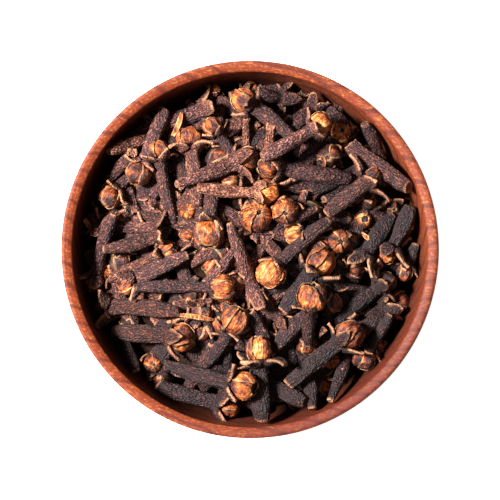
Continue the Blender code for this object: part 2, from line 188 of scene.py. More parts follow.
def add_node(
    tree: bpy.types.NodeTree,
    kind: str,
    settings: dict | None = None,
    links: dict | None = None,
) -> bpy.types.Node:
    """Adds a shader node with its settings and links.

    Args:
        tree: the material's node tree.
        kind: the node's type without its ShaderNode prefix.
        settings: properties by name, input values by socket name or number, and a ramp's stops.
        links: the socket that feeds each input, by input name or number.

    Returns:
        The new node.
    """
    node = tree.nodes.new("ShaderNode" + kind)
    for key, value in (settings or {}).items():
        if key == "stops":
            ramp = node.color_ramp
            ramp.elements[0].position, ramp.elements[1].position = value[0][0], value[-1][0]
            for position, _ in value[1:-1]:
                ramp.elements.new(position)
            for element, (_, colour) in zip(ramp.elements, value):
                element.color = linear(colour)
        elif isinstance(key, str) and hasattr(node, key):
            setattr(node, key, value)
        else:
            node.inputs[key].default_value = value
    for key, socket in (links or {}).items():
        tree.links.new(socket, node.inputs[key])
    return node


def new_material(name: str) -> tuple[bpy.types.Material, bpy.types.NodeTree]:
    """Makes an empty material.

    Args:
        name: the real material and how its surface was made.

    Returns:
        The material and its node tree.
    """
    material = bpy.data.materials.new(name)
    material.use_nodes = True
    material.node_tree.nodes.clear()
    return material, material.node_tree


def add_object(name: str, mesh: bpy.types.Mesh, material: bpy.types.Material) -> bpy.types.Object:
    """Puts a mesh in the scene.

    Args:
        name: the piece's name.
        mesh: its mesh, in metres.
        material: its one material.

    Returns:
        The new object.
    """
    mesh.materials.append(material)
    obj = bpy.data.objects.new(name, mesh)
    bpy.context.scene.collection.objects.link(obj)
    return obj


def report(obj: bpy.types.Object) -> None:
    """Logs a piece's name and its number of triangles."""
    obj.data.calc_loop_triangles()
    LOG.info("%s: %d triangles", obj.name, len(obj.data.loop_triangles))


@dataclass
class Skin:
    """One mesh, gathered from many closed lofts that each carry painted values.

    Attributes:
        points: the points of each loft.
        faces: all faces, by the numbers of their points.
        paint: the painted values of each loft, by attribute name.
        count: how many points there are.
    """

    points: list[np.ndarray] = field(default_factory=list)
    faces: list[list[int]] = field(default_factory=list)
    paint: dict[str, list[np.ndarray]] = field(default_factory=dict)
    count: int = 0

    def loft(self, rings: np.ndarray, place: np.ndarray, **paint: np.ndarray) -> None:
        """Adds a surface through rings of points, closed at both ends.

        Args:
            rings: points as an array of ring, place on the ring, and x, y, z.
            place: 4 by 4 matrix that lays the surface in the heap.
            paint: a value or a vector for each point of the rings, by attribute name.
        """
        ring_count, side_count, _ = rings.shape
        flat = rings.reshape(-1, 3)
        ends = np.stack([rings[0].mean(axis=0), rings[-1].mean(axis=0)])
        corner = np.arange(ring_count * side_count).reshape(ring_count, side_count)
        after = np.roll(corner, -1, axis=1)
        quads = np.stack([corner[:-1], after[:-1], after[1:], corner[1:]], axis=-1).reshape(-1, 4)
        tail, head = flat.shape[0], flat.shape[0] + 1
        fans = [[tail, int(b), int(a)] for a, b in zip(corner[0], after[0])]
        fans += [[head, int(a), int(b)] for a, b in zip(corner[-1], after[-1])]
        points = np.concatenate([flat, ends])
        inside = points.mean(axis=0)
        a, b, c = (points[quads[:, k]] - inside for k in (0, 1, 2))
        if np.einsum("ij,ij->i", a, np.cross(b, c)).sum() < 0:
            quads = quads[:, ::-1]
            fans = [fan[::-1] for fan in fans]
        self.points.append(points @ place[:3, :3].T + place[:3, 3])
        self.faces += [[int(i) + self.count for i in face] for face in quads.tolist() + fans]
        for name, values in paint.items():
            width = values.shape[-1] if values.ndim == 3 else 1
            rows = values.reshape(-1, width)
            poles = np.stack([values[end].reshape(-1, width).mean(0) for end in (0, -1)])
            self.paint.setdefault(name, []).append(np.concatenate([rows, poles]))
        self.count += len(points)

    def to_object(self, name: str, material: bpy.types.Material) -> bpy.types.Object:
        """Makes the smooth-shaded object, in metres, with the painted values as attributes.

        Args:
            name: the piece's name.
            material: its material.

        Returns:
            The new object.
        """
        mesh = bpy.data.meshes.new(name)
        mesh.from_pydata((np.concatenate(self.points) * MM).tolist(), [], self.faces)
        for key, values in self.paint.items():
            rows = np.concatenate(values)
            if rows.shape[1] == 3:
                layer = mesh.attributes.new(key, "FLOAT_VECTOR", "POINT")
                layer.data.foreach_set("vector", rows.astype(np.float32).ravel())
            else:
                layer = mesh.attributes.new(key, "FLOAT", "POINT")
                layer.data.foreach_set("value", rows.astype(np.float32).ravel())
        mesh.polygons.foreach_set("use_smooth", [True] * len(mesh.polygons))
        mesh.update()
        return add_object(name, mesh, material)


# Finishes.


@dataclass(frozen=True)
class DriedCloveSkin:
    """Air-dried clove stems: the skin has shrunk into grains and lengthwise wrinkles, with a little oil.

    The eye gets purple-brown to warm brown skin whose colour follows its relief: dark furrows,
    warm brown slopes and small pinkish to tan grains, with painted shade in the furrows and a painted
    highlight on the grains. Each clove has its own tone, from cool to warm, and its own shade,
    which holds painted shade too. The grains are drawn somewhat wider than real ones, so that
    they show.

    Attributes:
        cool: colours of a purple-brown clove, from its furrows to its grains.
        warm: colours of a warm brown clove, from its furrows to its grains.
        cut: colour of cut and worn edges.
        levels: where the colours lie between furrow and grain.
        grain: width of a grain.
        grain_narrowness: its width as a share of its length along the stem.
        grain_rise: how high the grains stand among the wrinkles.
        wrinkle: width of a wrinkle.
        wrinkle_narrowness: its width as a share of its length along the stem.
        wrinkle_rise: how high the wrinkles stand.
        patch: width of a lighter or darker patch.
        patch_strength: how much a patch changes the colour.
        relief: depth of the furrows.
        roughness: how matt the skin is.
        ior: its index of refraction.
    """

    cool: tuple[str, ...] = ("#1a0e10", "#371d1e", "#6c3e36", "#b2806e")
    warm: tuple[str, ...] = ("#22100c", "#4b2218", "#86503a", "#c48f6c")
    cut: str = "#d6956c"
    levels: tuple[float, ...] = (0.10, 0.38, 0.66, 1.0)
    grain: float = 0.3
    grain_narrowness: float = 0.6
    grain_rise: float = 0.5
    wrinkle: float = 0.27
    wrinkle_narrowness: float = 0.32
    wrinkle_rise: float = 1.3
    patch: float = 1.4
    patch_strength: float = 0.75
    relief: float = 0.42
    roughness: float = 0.55
    ior: float = 1.42

    def material(self) -> bpy.types.Material:
        """Builds the material from the points' own places along each clove.

        Returns:
            The material.
        """
        material, tree = new_material("air_dried_clove_skin")
        own = add_node(tree, "Attribute", {"attribute_name": "own"}).outputs["Vector"]
        tone, rim, shade = (
            add_node(tree, "Attribute", {"attribute_name": name}).outputs["Fac"]
            for name in ("tone", "rim", "shade")
        )
        grain_place, wrinkle_place = (
            add_node(
                tree, "VectorMath", {"operation": "MULTIPLY", 1: (1.0, 1.0, narrowness)}, {0: own}
            ).outputs["Vector"]
            for narrowness in (self.grain_narrowness, self.wrinkle_narrowness)
        )
        cells = add_node(
            tree, "TexVoronoi",
            {"feature": "SMOOTH_F1", "Scale": 1 / self.grain, "Smoothness": 0.35, "Randomness": 1.0},
            {"Vector": grain_place},
        ).outputs["Distance"]
        grains = add_node(
            tree, "MapRange",
            {"From Min": 0.05, "From Max": 0.62, "To Min": 1.0, "To Max": 0.0}, {"Value": cells},
        ).outputs["Result"]
        patch = add_node(
            tree, "TexNoise",
            {"Scale": 1 / self.patch, "Detail": 4.0, "Roughness": 0.62}, {"Vector": own},
        ).outputs["Fac"]
        wrinkle = add_node(
            tree, "TexNoise",
            {"Scale": 1 / self.wrinkle, "Detail": 3.0, "Roughness": 0.6}, {"Vector": wrinkle_place},
        ).outputs["Fac"]
        wrinkles = add_node(
            tree, "Math", {"operation": "MULTIPLY_ADD", 1: self.wrinkle_rise, 2: -0.2}, {0: wrinkle}
        ).outputs["Value"]
        height = add_node(
            tree, "Math", {"operation": "MULTIPLY_ADD", 1: self.grain_rise}, {0: grains, 2: wrinkles}
        ).outputs["Value"]
        # Painted shade and highlight: the colour runs from dark in the furrows to pale on the grains,
        # following the relief.
        spread = add_node(
            tree, "MapRange",
            {"From Min": 0.37, "From Max": 1.02, "To Min": 0.0, "To Max": 0.68}, {"Value": height},
        ).outputs["Result"]
        patched = add_node(
            tree, "Math", {"operation": "MULTIPLY_ADD", 1: self.patch_strength}, {0: patch, 2: spread}
        ).outputs["Value"]
        # The clove's shade, which holds painted shade, darkens the skin.
        level = add_node(
            tree, "Math", {"operation": "SUBTRACT"}, {0: patched, 1: shade}
        ).outputs["Value"]
        cool, warm = (
            add_node(
                tree, "ValToRGB", {"stops": tuple(zip(self.levels, colours))}, {"Fac": level}
            ).outputs["Color"]
            for colours in (self.cool, self.warm)
        )
        skin = add_node(tree, "Mix", {"data_type": "RGBA"}, {0: tone, 6: cool, 7: warm}).outputs[2]
        edged = add_node(
            tree, "Mix", {"data_type": "RGBA", 7: linear(self.cut)}, {0: rim, 6: skin}
        ).outputs[2]
        bump = add_node(
            tree, "Bump", {"Strength": 1.0, "Distance": self.relief * MM}, {"Height": height}
        ).outputs["Normal"]
        shader = add_node(
            tree, "BsdfPrincipled",
            {"Roughness": self.roughness, "IOR": self.ior},
            {"Base Color": edged, "Normal": bump},
        )
        add_node(tree, "OutputMaterial", None, {"Surface": shader.outputs["BSDF"]})
        return material


@dataclass(frozen=True)
class PaperyPetal:
    """Papery dried petals wrapped over each other: thin, brittle, with fibres from foot to tip.

    The eye gets golden to orange-red patches in a purple-brown skin, fine streaks along each
    petal, and a broken pale line along its margin.

    Attributes:
        colours: from the dark purple-brown of the skin to pale straw.
        levels: where the colours lie between dark and pale.
        margin: colour of the worn margins.
        patch: width of a patch.
        across: width of a fibre, which is drawn coarse enough to show.
        along: length of a fibre.
        relief: depth of the fibres and patches.
        roughness: how matt the petals are.
        ior: their index of refraction.
    """

    colours: tuple[str, ...] = ("#251210", "#542a22", "#974319", "#c56f2b", "#dca468")
    levels: tuple[float, ...] = (0.0, 0.25, 0.5, 0.74, 1.0)
    margin: str = "#e3b27c"
    patch: float = 1.5
    across: float = 0.2
    along: float = 1.0
    relief: float = 0.5
    roughness: float = 0.52
    ior: float = 1.42

    def material(self) -> bpy.types.Material:
        """Builds the material from the petals' painted tones, margins and places.

        Returns:
            The material.
        """
        material, tree = new_material("papery_dried_clove_petal")
        own = add_node(tree, "Attribute", {"attribute_name": "own"}).outputs["Vector"]
        tone, rim = (
            add_node(tree, "Attribute", {"attribute_name": name}).outputs["Fac"]
            for name in ("tone", "rim")
        )
        patch = add_node(
            tree, "TexNoise",
            {"Scale": 1 / self.patch, "Detail": 5.0, "Roughness": 0.6, "Distortion": 0.4},
            {"Vector": own},
        ).outputs["Fac"]
        streaked = add_node(
            tree, "VectorMath",
            {"operation": "MULTIPLY", 1: (1 / self.across, 1 / self.along, 1.0)}, {0: own},
        ).outputs["Vector"]
        streak = add_node(
            tree, "TexNoise", {"Scale": 1.0, "Detail": 3.0, "Roughness": 0.6}, {"Vector": streaked}
        ).outputs["Fac"]
        level = tone
        for pattern, low, high, swing in ((patch, 0.36, 0.64, 0.32), (streak, 0.34, 0.66, 0.27)):
            change = add_node(
                tree, "MapRange",
                {"From Min": low, "From Max": high, "To Min": -swing, "To Max": swing},
                {"Value": pattern},
            ).outputs["Result"]
            level = add_node(tree, "Math", {"operation": "ADD"}, {0: level, 1: change}).outputs["Value"]
        skin = add_node(
            tree, "ValToRGB", {"stops": tuple(zip(self.levels, self.colours))}, {"Fac": level}
        ).outputs["Color"]
        worn = add_node(
            tree, "Math", {"operation": "MULTIPLY_ADD", 1: 2.4, 2: -0.55}, {0: patch}
        ).outputs["Value"]
        broken = add_node(
            tree, "Math", {"operation": "MULTIPLY", "use_clamp": True}, {0: worn, 1: rim}
        ).outputs["Value"]
        edged = add_node(
            tree, "Mix", {"data_type": "RGBA", 7: linear(self.margin)}, {0: broken, 6: skin}
        ).outputs[2]
        height = add_node(
            tree, "Math", {"operation": "MULTIPLY_ADD", 1: 0.7}, {0: streak, 2: patch}
        ).outputs["Value"]
        bump = add_node(
            tree, "Bump", {"Strength": 1.0, "Distance": self.relief * MM}, {"Height": height}
        ).outputs["Normal"]
        shader = add_node(
            tree, "BsdfPrincipled",
            {"Roughness": self.roughness, "IOR": self.ior},
            {"Base Color": edged, "Normal": bump},
        )
        add_node(tree, "OutputMaterial", None, {"Surface": shader.outputs["BSDF"]})
        return material


@dataclass(frozen=True)
class OiledBeech:
    """Steamed beech, turned and rubbed with a reddish oil: close grain with a satin surface.

    The eye gets coral-brown wood, thin purple-brown ring lines that slant across the rim, short
    pale flecks, fine pores that run with the grain along X, and faint circles from the turning
    tool. One side is painted darker towards the lower right, and the hollow is painted darker with
    its depth, both as painted shade.

    Attributes:
        pale: colour of the flecks and of the palest wood.
        coral: colour of most of the wood.
        ring: colour of the ring lines, the painted shade on one side and the turning marks.
        pore: colour of the pores.
        hollow_shade_colour: colour of the painted shade in the hollow's depth.
        ring_gap: distance from one ring line to the next.
        ring_tilt: how far the rings lean from upright, in degrees.
        ring_slant: how far they slant from the grain in plan, in degrees.
        drift: how far the rings wander.
        drift_scale: how often they wander, for each millimetre.
        fibre: width of a fibre or pore, drawn coarse enough to show.
        fibre_narrowness: its width as a share of its length.
        fleck: width of a fleck.
        fleck_narrowness: its width as a share of its length.
        side_shade_way: the way in plan to the side that is painted darker, as painted shade.
        side_shade_reach: where that painted shade starts on that way and where it is darkest.
        side_shade_depth: how dark it gets there.
        turning_marks: how many marks the tool left for each millimetre of radius.
        hollow_shade_strength: how dark the painted shade in the hollow's depth is.
        relief: depth of the pores.
        roughness: how matt the oiled wood is.
        ior: the oil's index of refraction.
        specular: how strongly it mirrors, where 0.5 is usual.
    """

    pale: str = "#ad6835"
    coral: str = "#742f18"
    ring: str = "#451611"
    pore: str = "#461b0f"
    hollow_shade_colour: str = "#1f0f0a"
    ring_gap: float = 2.6
    ring_tilt: float = 33.0
    ring_slant: float = -13.0
    drift: float = 7.0
    drift_scale: float = 0.06
    fibre: float = 0.2
    fibre_narrowness: float = 0.2
    fleck: float = 0.3
    fleck_narrowness: float = 0.4
    side_shade_way: tuple[float, float] = (0.62, -0.78)
    side_shade_reach: tuple[float, float] = (8.0, 34.0)
    side_shade_depth: float = 0.68
    turning_marks: float = 2.6
    hollow_shade_strength: float = 0.82
    relief: float = 0.06
    roughness: float = 0.56
    ior: float = 1.42
    specular: float = 0.25

    def rings(self, tree: bpy.types.NodeTree, block: bpy.types.NodeSocket) -> bpy.types.NodeSocket:
        """Draws the ring lines.

        Args:
            tree: the material's node tree.
            block: the place in the block of wood, in millimetres.

        Returns:
            How dark the ring line is at each place.
        """
        drift = add_node(
            tree, "TexNoise", {"Scale": self.drift_scale, "Detail": 2.0, "Roughness": 0.5},
            {"Vector": block},
        ).outputs["Fac"]
        across = add_node(tree, "SeparateXYZ", None, {"Vector": block}).outputs["Y"]
        drifted = add_node(
            tree, "Math", {"operation": "MULTIPLY_ADD", 1: self.drift}, {0: drift, 2: across}
        ).outputs["Value"]
        turns = add_node(
            tree, "Math", {"operation": "MULTIPLY", 1: math.tau / self.ring_gap}, {0: drifted}
        ).outputs["Value"]
        wave = add_node(tree, "Math", {"operation": "SINE"}, {0: turns}).outputs["Value"]
        return add_node(
            tree, "MapRange",
            {"interpolation_type": "SMOOTHSTEP", "From Min": 0.6, "From Max": 1.0,
             "To Min": 0.0, "To Max": 0.85},
            {"Value": wave},
        ).outputs["Result"]

    def darkening(self, tree: bpy.types.NodeTree, place: bpy.types.NodeSocket) -> bpy.types.NodeSocket:
        """Draws painted shade towards the lower right and the circles that the turning tool left.

        Args:
            tree: the material's node tree.
            place: the place on the bowl, in metres.

        Returns:
            How dark the darker of the two is at each place.
        """
        way = (self.side_shade_way[0] / MM, self.side_shade_way[1] / MM, 0.0)
        side = add_node(
            tree, "VectorMath", {"operation": "DOT_PRODUCT", 1: way}, {0: place}
        ).outputs["Value"]
        # Painted shade: the wood is painted darker towards the lower right.
        heart = add_node(
            tree, "MapRange",
            {"interpolation_type": "SMOOTHSTEP",
             "From Min": self.side_shade_reach[0], "From Max": self.side_shade_reach[1],
             "To Min": 0.0, "To Max": self.side_shade_depth},
            {"Value": side},
        ).outputs["Result"]
        flat = add_node(
            tree, "VectorMath", {"operation": "MULTIPLY", 1: (1 / MM, 1 / MM, 0.0)}, {0: place}
        ).outputs["Vector"]
        radius = add_node(tree, "VectorMath", {"operation": "LENGTH"}, {0: flat}).outputs["Value"]
        tooling = add_node(
            tree, "TexNoise",
            {"noise_dimensions": "1D", "Scale": self.turning_marks, "Detail": 3.0}, {"W": radius},
        ).outputs["Fac"]
        mark = add_node(
            tree, "MapRange",
            {"From Min": 0.35, "From Max": 0.62, "To Min": 0.34, "To Max": 0.0}, {"Value": tooling},
        ).outputs["Result"]
        return add_node(tree, "Math", {"operation": "MAXIMUM"}, {0: heart, 1: mark}).outputs["Value"]

    def material(self) -> bpy.types.Material:
        """Builds the material from the wood's place in the block it was turned from.

        Returns:
            The material.
        """
        material, tree = new_material("turned_oiled_beech")
        place = add_node(tree, "TexCoord").outputs["Object"]
        block = add_node(
            tree, "Mapping",
            {"vector_type": "POINT", "Scale": (1 / MM,) * 3,
             "Rotation": (math.radians(self.ring_tilt), 0.0, math.radians(-self.ring_slant))},
            {"Vector": place},
        ).outputs["Vector"]
        ring = self.rings(tree, block)
        fibre_place, fleck_place = (
            add_node(
                tree, "VectorMath", {"operation": "MULTIPLY", 1: (narrowness, 1.0, up)}, {0: block}
            ).outputs["Vector"]
            for narrowness, up in ((self.fibre_narrowness, 1.0), (self.fleck_narrowness, 0.8))
        )
        fibre = add_node(
            tree, "TexNoise",
            {"Scale": 1 / self.fibre, "Detail": 4.0, "Roughness": 0.7}, {"Vector": fibre_place},
        ).outputs["Fac"]
        fleck = add_node(
            tree, "TexNoise",
            {"Scale": 1 / self.fleck, "Detail": 2.0, "Roughness": 0.6}, {"Vector": fleck_place},
        ).outputs["Fac"]
        wood = add_node(
            tree, "ValToRGB",
            {"stops": ((0.30, self.pore), (0.45, self.coral), (0.56, self.coral), (0.72, self.pale))},
            {"Fac": fibre},
        ).outputs["Color"]
        light = add_node(
            tree, "MapRange",
            {"From Min": 0.54, "From Max": 0.68, "To Min": 0.0, "To Max": 0.7}, {"Value": fleck},
        ).outputs["Result"]
        broken = add_node(
            tree, "MapRange",
            {"From Min": 0.32, "From Max": 0.5, "To Min": 0.3, "To Max": 0.92}, {"Value": fleck},
        ).outputs["Result"]
        line = add_node(tree, "Math", {"operation": "MULTIPLY"}, {0: ring, 1: broken}).outputs["Value"]
        # Painted shade: the hollow gets darker with its depth under the lip.
        depth = add_node(tree, "Attribute", {"attribute_name": "depth"}).outputs["Fac"]
        hollow_shade = add_node(
            tree, "Math", {"operation": "MULTIPLY", 1: self.hollow_shade_strength}, {0: depth}
        ).outputs["Value"]
        layers = (
            (self.pale, light), (self.ring, line),
            (self.ring, self.darkening(tree, place)), (self.hollow_shade_colour, hollow_shade),
        )
        for colour, share in layers:
            wood = add_node(
                tree, "Mix", {"data_type": "RGBA", 7: linear(colour)}, {0: share, 6: wood}
            ).outputs[2]
        bump = add_node(
            tree, "Bump", {"Strength": 0.7, "Distance": self.relief * MM}, {"Height": fibre}
        ).outputs["Normal"]
        shader = add_node(
            tree, "BsdfPrincipled",
            {"Roughness": self.roughness, "IOR": self.ior, "Specular IOR Level": self.specular},
            {"Base Color": wood, "Normal": bump},
        )
        add_node(tree, "OutputMaterial", None, {"Surface": shader.outputs["BSDF"]})
        return material


@dataclass(frozen=True)
class PaintedShadeCore:
    """Painted shade in the depth of the heap: a matt, almost black brown with small lumps.

    Attributes:
        dark: colour between the lumps.
        colour: colour of the lumps.
        lump: width of a lump.
        relief: how high the lumps stand.
        roughness: how matt the dust is.
    """

    dark: str = "#120a08"
    colour: str = "#2e1e18"
    lump: float = 0.8
    # roughness: how matt the core is.
    relief: float = 0.3
    roughness: float = 0.9

    def material(self) -> bpy.types.Material:
        """Builds the matt dark material.

        Returns:
            The material.
        """
        material, tree = new_material("heap_core_painted_shade")
        place = add_node(tree, "TexCoord").outputs["Object"]
        lump = add_node(
            tree, "TexNoise", {"Scale": 1 / (self.lump * MM), "Detail": 4.0}, {"Vector": place}
        ).outputs["Fac"]
        colour = add_node(
            tree, "ValToRGB", {"stops": ((0.3, self.dark), (0.7, self.colour))}, {"Fac": lump}
        ).outputs["Color"]
        bump = add_node(
            tree, "Bump", {"Strength": 1.0, "Distance": self.relief * MM}, {"Height": lump}
        ).outputs["Normal"]
        shader = add_node(
            tree, "BsdfPrincipled", {"Roughness": self.roughness, "Specular IOR Level": 0.0},
            {"Base Color": colour, "Normal": bump},
        )
        add_node(tree, "OutputMaterial", None, {"Surface": shader.outputs["BSDF"]})
        return material


@dataclass(frozen=True)
class WhiteTable:
    """A matt white table lit from below, so that shadows on it stay faint.

    Attributes:
        colour: the table's colour.
        glow: how strongly it is lit from below.
        roughness: how matt it is.
    """

    colour: str = "#fbfbfb"
    glow: float = 0.93
    roughness: float = 0.9

    def material(self) -> bpy.types.Material:
        """Builds the pale, glowing material.

        Returns:
            The material.
        """
        material, tree = new_material("matt_white_light_table")
        shader = add_node(
            tree, "BsdfPrincipled",
            {"Base Color": linear(self.colour), "Roughness": self.roughness,
             "Emission Color": linear(self.colour), "Emission Strength": self.glow},
        )
        add_node(tree, "OutputMaterial", None, {"Surface": shader.outputs["BSDF"]})
        return material


# The bowl.


def turned(profile: list[tuple[float, float]], sides: int) -> np.ndarray:
    """Turns an outline round the axis.

    Args:
        profile: distances from the axis and heights.
        sides: how many sides the turned form has.

    Returns:
        A ring of points for each place on the outline.
    """
    turn = np.linspace(0.0, math.tau, sides, endpoint=False)
    return np.array([
        np.stack([r * np.cos(turn), r * np.sin(turn), np.full_like(turn, z)], axis=-1)
        for r, z in profile
    ])


@dataclass
class TurnedBowl:
    """The beech bowl: a rounded hollow, a narrow nearly flat lip, a full outside and a low foot.

    Attributes:
        radius: the outside of the rim.
        height: the top of the lip.
        lip_width: the thickness of the wall at the lip.
        lip_height: how far the lip is rounded down on both sides.
        lip_fullness: how square the lip's rounding is.
        lip_slope: how much lower the lip's inner side is, as a share of its height.
        floor: the thickness of the floor.
        foot: the radius of the foot.
        foot_edge: the rounding under the foot's edge.
        foot_groove: the step where the outside meets the foot.
        inside_fullness: how square the hollow's outline is.
        outside_fullness: how square the outside's outline is.
        hollow_shade_start: how far under the lip the hollow's painted shade starts.
        hollow_shade_reach: how much deeper the painted shade is darkest.
        sides: how many sides the bowl is turned with.
        hollow_steps: how many rings the hollow has.
        lip_steps: how many rings the lip has.
        outside_steps: how many rings the outside has.
        edge_steps: how many rings the foot's rounding has.
        axis_gap: how near the axis the underside's last ring is.
    """

    radius: float = 32.0
    height: float = 30.0
    lip_width: float = 1.9
    lip_height: float = 0.8
    lip_fullness: float = 2.4
    lip_slope: float = 0.55
    floor: float = 4.2
    foot: float = 15.5
    foot_edge: float = 0.4
    foot_groove: float = 0.1
    inside_fullness: float = 2.3
    outside_fullness: float = 2.4
    hollow_shade_start: float = 2.0
    hollow_shade_reach: float = 7.5
    sides: int = 232
    hollow_steps: int = 35
    lip_steps: int = 21
    outside_steps: int = 30
    edge_steps: int = 6
    axis_gap: float = 0.3

    @property
    def lip_base(self) -> float:
        """Height at which the lip starts."""
        return self.height - self.lip_height

    @property
    def inside(self) -> tuple[float, float]:
        """The hollow's widest radius and its depth under the lip."""
        return self.radius - self.lip_width, self.lip_base - self.floor

    def other_side(self, share: np.ndarray) -> np.ndarray:
        """One side of the hollow's rounded outline from the other, both as shares."""
        rounded = 1.0 - np.clip(share, 0.0, 1.0) ** self.inside_fullness
        return rounded ** (1.0 / self.inside_fullness)

    def inside_height(self, distance: np.ndarray, shrink: float = 0.0) -> np.ndarray:
        """Height of the hollow's surface.

        Args:
            distance: distances from the axis.
            shrink: how far the hollow is drawn in.

        Returns:
            Heights, and the rim's height beyond the hollow.
        """
        wide, deep = self.inside
        reach = np.asarray(distance) / (wide - shrink)
        height = self.lip_base - (deep - shrink) * self.other_side(reach)
        return np.where(reach < 1.0, height, self.height)

    def inside_radius(self, height: float, shrink: float = 0.0) -> float:
        """Distance from the axis to the hollow's surface.

        Args:
            height: the height of that place on the surface.
            shrink: how far the hollow is drawn in.

        Returns:
            The distance.
        """
        wide, deep = self.inside
        depth = (self.lip_base - height) / (deep - shrink)
        return (wide - shrink) * float(self.other_side(np.float64(depth)))

    def lip(self) -> Iterator[tuple[float, float]]:
        """Walks the lip from its inner to its outer side, a little lower on its inner side.

        Yields:
            Distance from the axis and height.
        """
        power = 2 / self.lip_fullness
        middle = self.radius - self.lip_width / 2
        for angle in np.linspace(math.pi, 0.0, self.lip_steps):
            across = math.copysign(abs(math.cos(angle)) ** power, math.cos(angle))
            up = abs(math.sin(angle)) ** power
            level = 1.0 - self.lip_slope * (1.0 - across) / 2
            yield middle + self.lip_width / 2 * across, self.lip_base + self.lip_height * up * level

    def profile(self) -> list[tuple[float, float]]:
        """Walks the outline from the axis up the hollow, over the lip and down to the foot.

        Returns:
            Distances from the axis and heights.
        """
        wide, _ = self.inside
        reaches = np.linspace(0.02, 1.0, self.hollow_steps + 1)[:-1]
        hollow = wide * np.sin(reaches * math.pi / 2)
        walk = [(float(r), float(self.inside_height(r))) for r in hollow]
        walk += self.lip()
        for turn in np.linspace(0.0, math.pi / 2, self.outside_steps)[1:]:
            across = self.foot + (self.radius - self.foot) * math.cos(turn)
            share = 1 - (across / self.radius) ** self.outside_fullness
            walk.append((across, self.lip_base * (1 - share ** (1 / self.outside_fullness))))
        walk.append((self.foot - self.foot_groove / 2, walk[-1][1] - 1.2 * self.foot_groove))
        walk.append((self.foot, self.foot_edge + self.foot_groove))
        for turn in np.linspace(0.0, math.pi / 2, self.edge_steps):
            across = self.foot - self.foot_edge * (1 - math.cos(turn))
            walk.append((across, self.foot_edge * (1 - math.sin(turn))))
        walk += [(self.foot / 2, 0.0), (self.axis_gap, 0.0)]
        return walk

    def build(self, finish: OiledBeech) -> bpy.types.Object:
        """Turns the profile round the axis, and paints the hollow's depth on it, for the painted shade.

        Args:
            finish: the wood's finish.

        Returns:
            The bowl, which stands for its solid.
        """
        profile = self.profile()
        rings = turned(profile, self.sides)
        heights = np.array([height for _, height in profile])
        in_hollow = np.arange(len(heights)) < int(np.argmax(heights))
        # Painted shade: the hollow is painted darker with its depth under the lip.
        darker = (self.lip_base - heights - self.hollow_shade_start) / self.hollow_shade_reach
        depth = np.clip(np.where(in_hollow, darker, 0.0), 0.0, 1.0)
        skin = Skin()
        skin.loft(rings, np.eye(4), depth=np.broadcast_to(depth[:, None], rings.shape[:2]))
        bowl = skin.to_object("turned_bowl", finish.material())
        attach(bowl, "root")
        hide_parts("bowl")
        return bowl


# The heap.


@dataclass
class Ground:
    """The height of what lies in the bowl, on a square grid seen from above.

    Attributes:
        bowl: the bowl that holds it.
        wall_gap: the gap between the heap and the wood.
        middle_height: the core's height in the middle.
        edge_height: the core's height where it meets the wood.
        cell: the width of the grid's cells.
    """

    bowl: TurnedBowl
    wall_gap: float = 0.35
    middle_height: float = 27.0
    edge_height: float = 20.0
    cell: float = 0.3

    def __post_init__(self) -> None:
        """Fills the grid with the hollow and the core of the heap."""
        reach = self.bowl.radius
        axis = np.arange(-reach, reach + self.cell, self.cell)
        self.x, self.y = np.meshgrid(axis, axis, indexing="ij")
        distance = np.hypot(self.x, self.y)
        wood = self.bowl.inside_height(distance, self.wall_gap)
        self.height = np.maximum(wood, self.dome(distance) - self.wall_gap)

    @property
    def core_radius(self) -> float:
        """Where the dome ends near the wood."""
        return self.bowl.inside_radius(self.edge_height, 2 * self.wall_gap)

    def dome(self, distance: np.ndarray) -> np.ndarray:
        """Height of the core's dome.

        Args:
            distance: distances from the axis.

        Returns:
            Heights, and 0 beyond the dome.
        """
        reach = np.asarray(distance) / self.core_radius
        top = self.edge_height + (self.middle_height - self.edge_height) * (1 - reach**2)
        return np.where(reach < 1.0, top, 0.0)

    def window(
        self, x: float, y: float, radius: float
    ) -> tuple[tuple[slice, ...], np.ndarray, np.ndarray]:
        """Finds the cells under a round bead.

        Args:
            x: the bead's place to the right.
            y: the bead's place up in plan.
            radius: the bead's radius.

        Returns:
            The cells, which of them the bead covers, and its half height over each.
        """
        reach = self.bowl.radius
        first = [int((value - radius + reach) / self.cell) for value in (x, y)]
        last = [int((value + radius + reach) / self.cell) + 2 for value in (x, y)]
        cells = tuple(slice(max(low, 0), high) for low, high in zip(first, last))
        square = radius**2 - (self.x[cells] - x) ** 2 - (self.y[cells] - y) ** 2
        return cells, square > 0, np.sqrt(np.maximum(square, 0.0))

    def support(self, x: float, y: float, radius: float) -> float:
        """Finds how low a bead can lie.

        Args:
            x: the bead's place to the right.
            y: the bead's place up in plan.
            radius: the bead's radius.

        Returns:
            The lowest height at which its middle can be.
        """
        cells, under, drop = self.window(x, y, radius)
        return float(np.max(np.where(under, self.height[cells] + drop, 0.0)))

    def cover(self, x: float, y: float, z: float, radius: float) -> None:
        """Adds a bead that has come to rest.

        Args:
            x: the bead's place to the right.
            y: the bead's place up in plan.
            z: the height of its middle.
            radius: the bead's radius.
        """
        cells, under, drop = self.window(x, y, radius)
        self.height[cells] = np.maximum(self.height[cells], np.where(under, z + drop, 0.0))


def swell(share: np.ndarray) -> np.ndarray:
    """Half width of a stem along its length.

    Args:
        share: how far along the stem from its tail, from 0 to 1.

    Returns:
        Half widths, as a share of half its girth.
    """
    share = np.asarray(share, dtype=float)
    tail, belly, cup, cup_start = 0.62, 0.4, 0.26, 0.8
    bellied = tail + belly * np.sin(np.pi * np.clip(share, 0, 1) ** 0.85) ** 0.7
    return bellied + cup * np.maximum(0.0, (share - cup_start) / (1 - cup_start)) ** 2


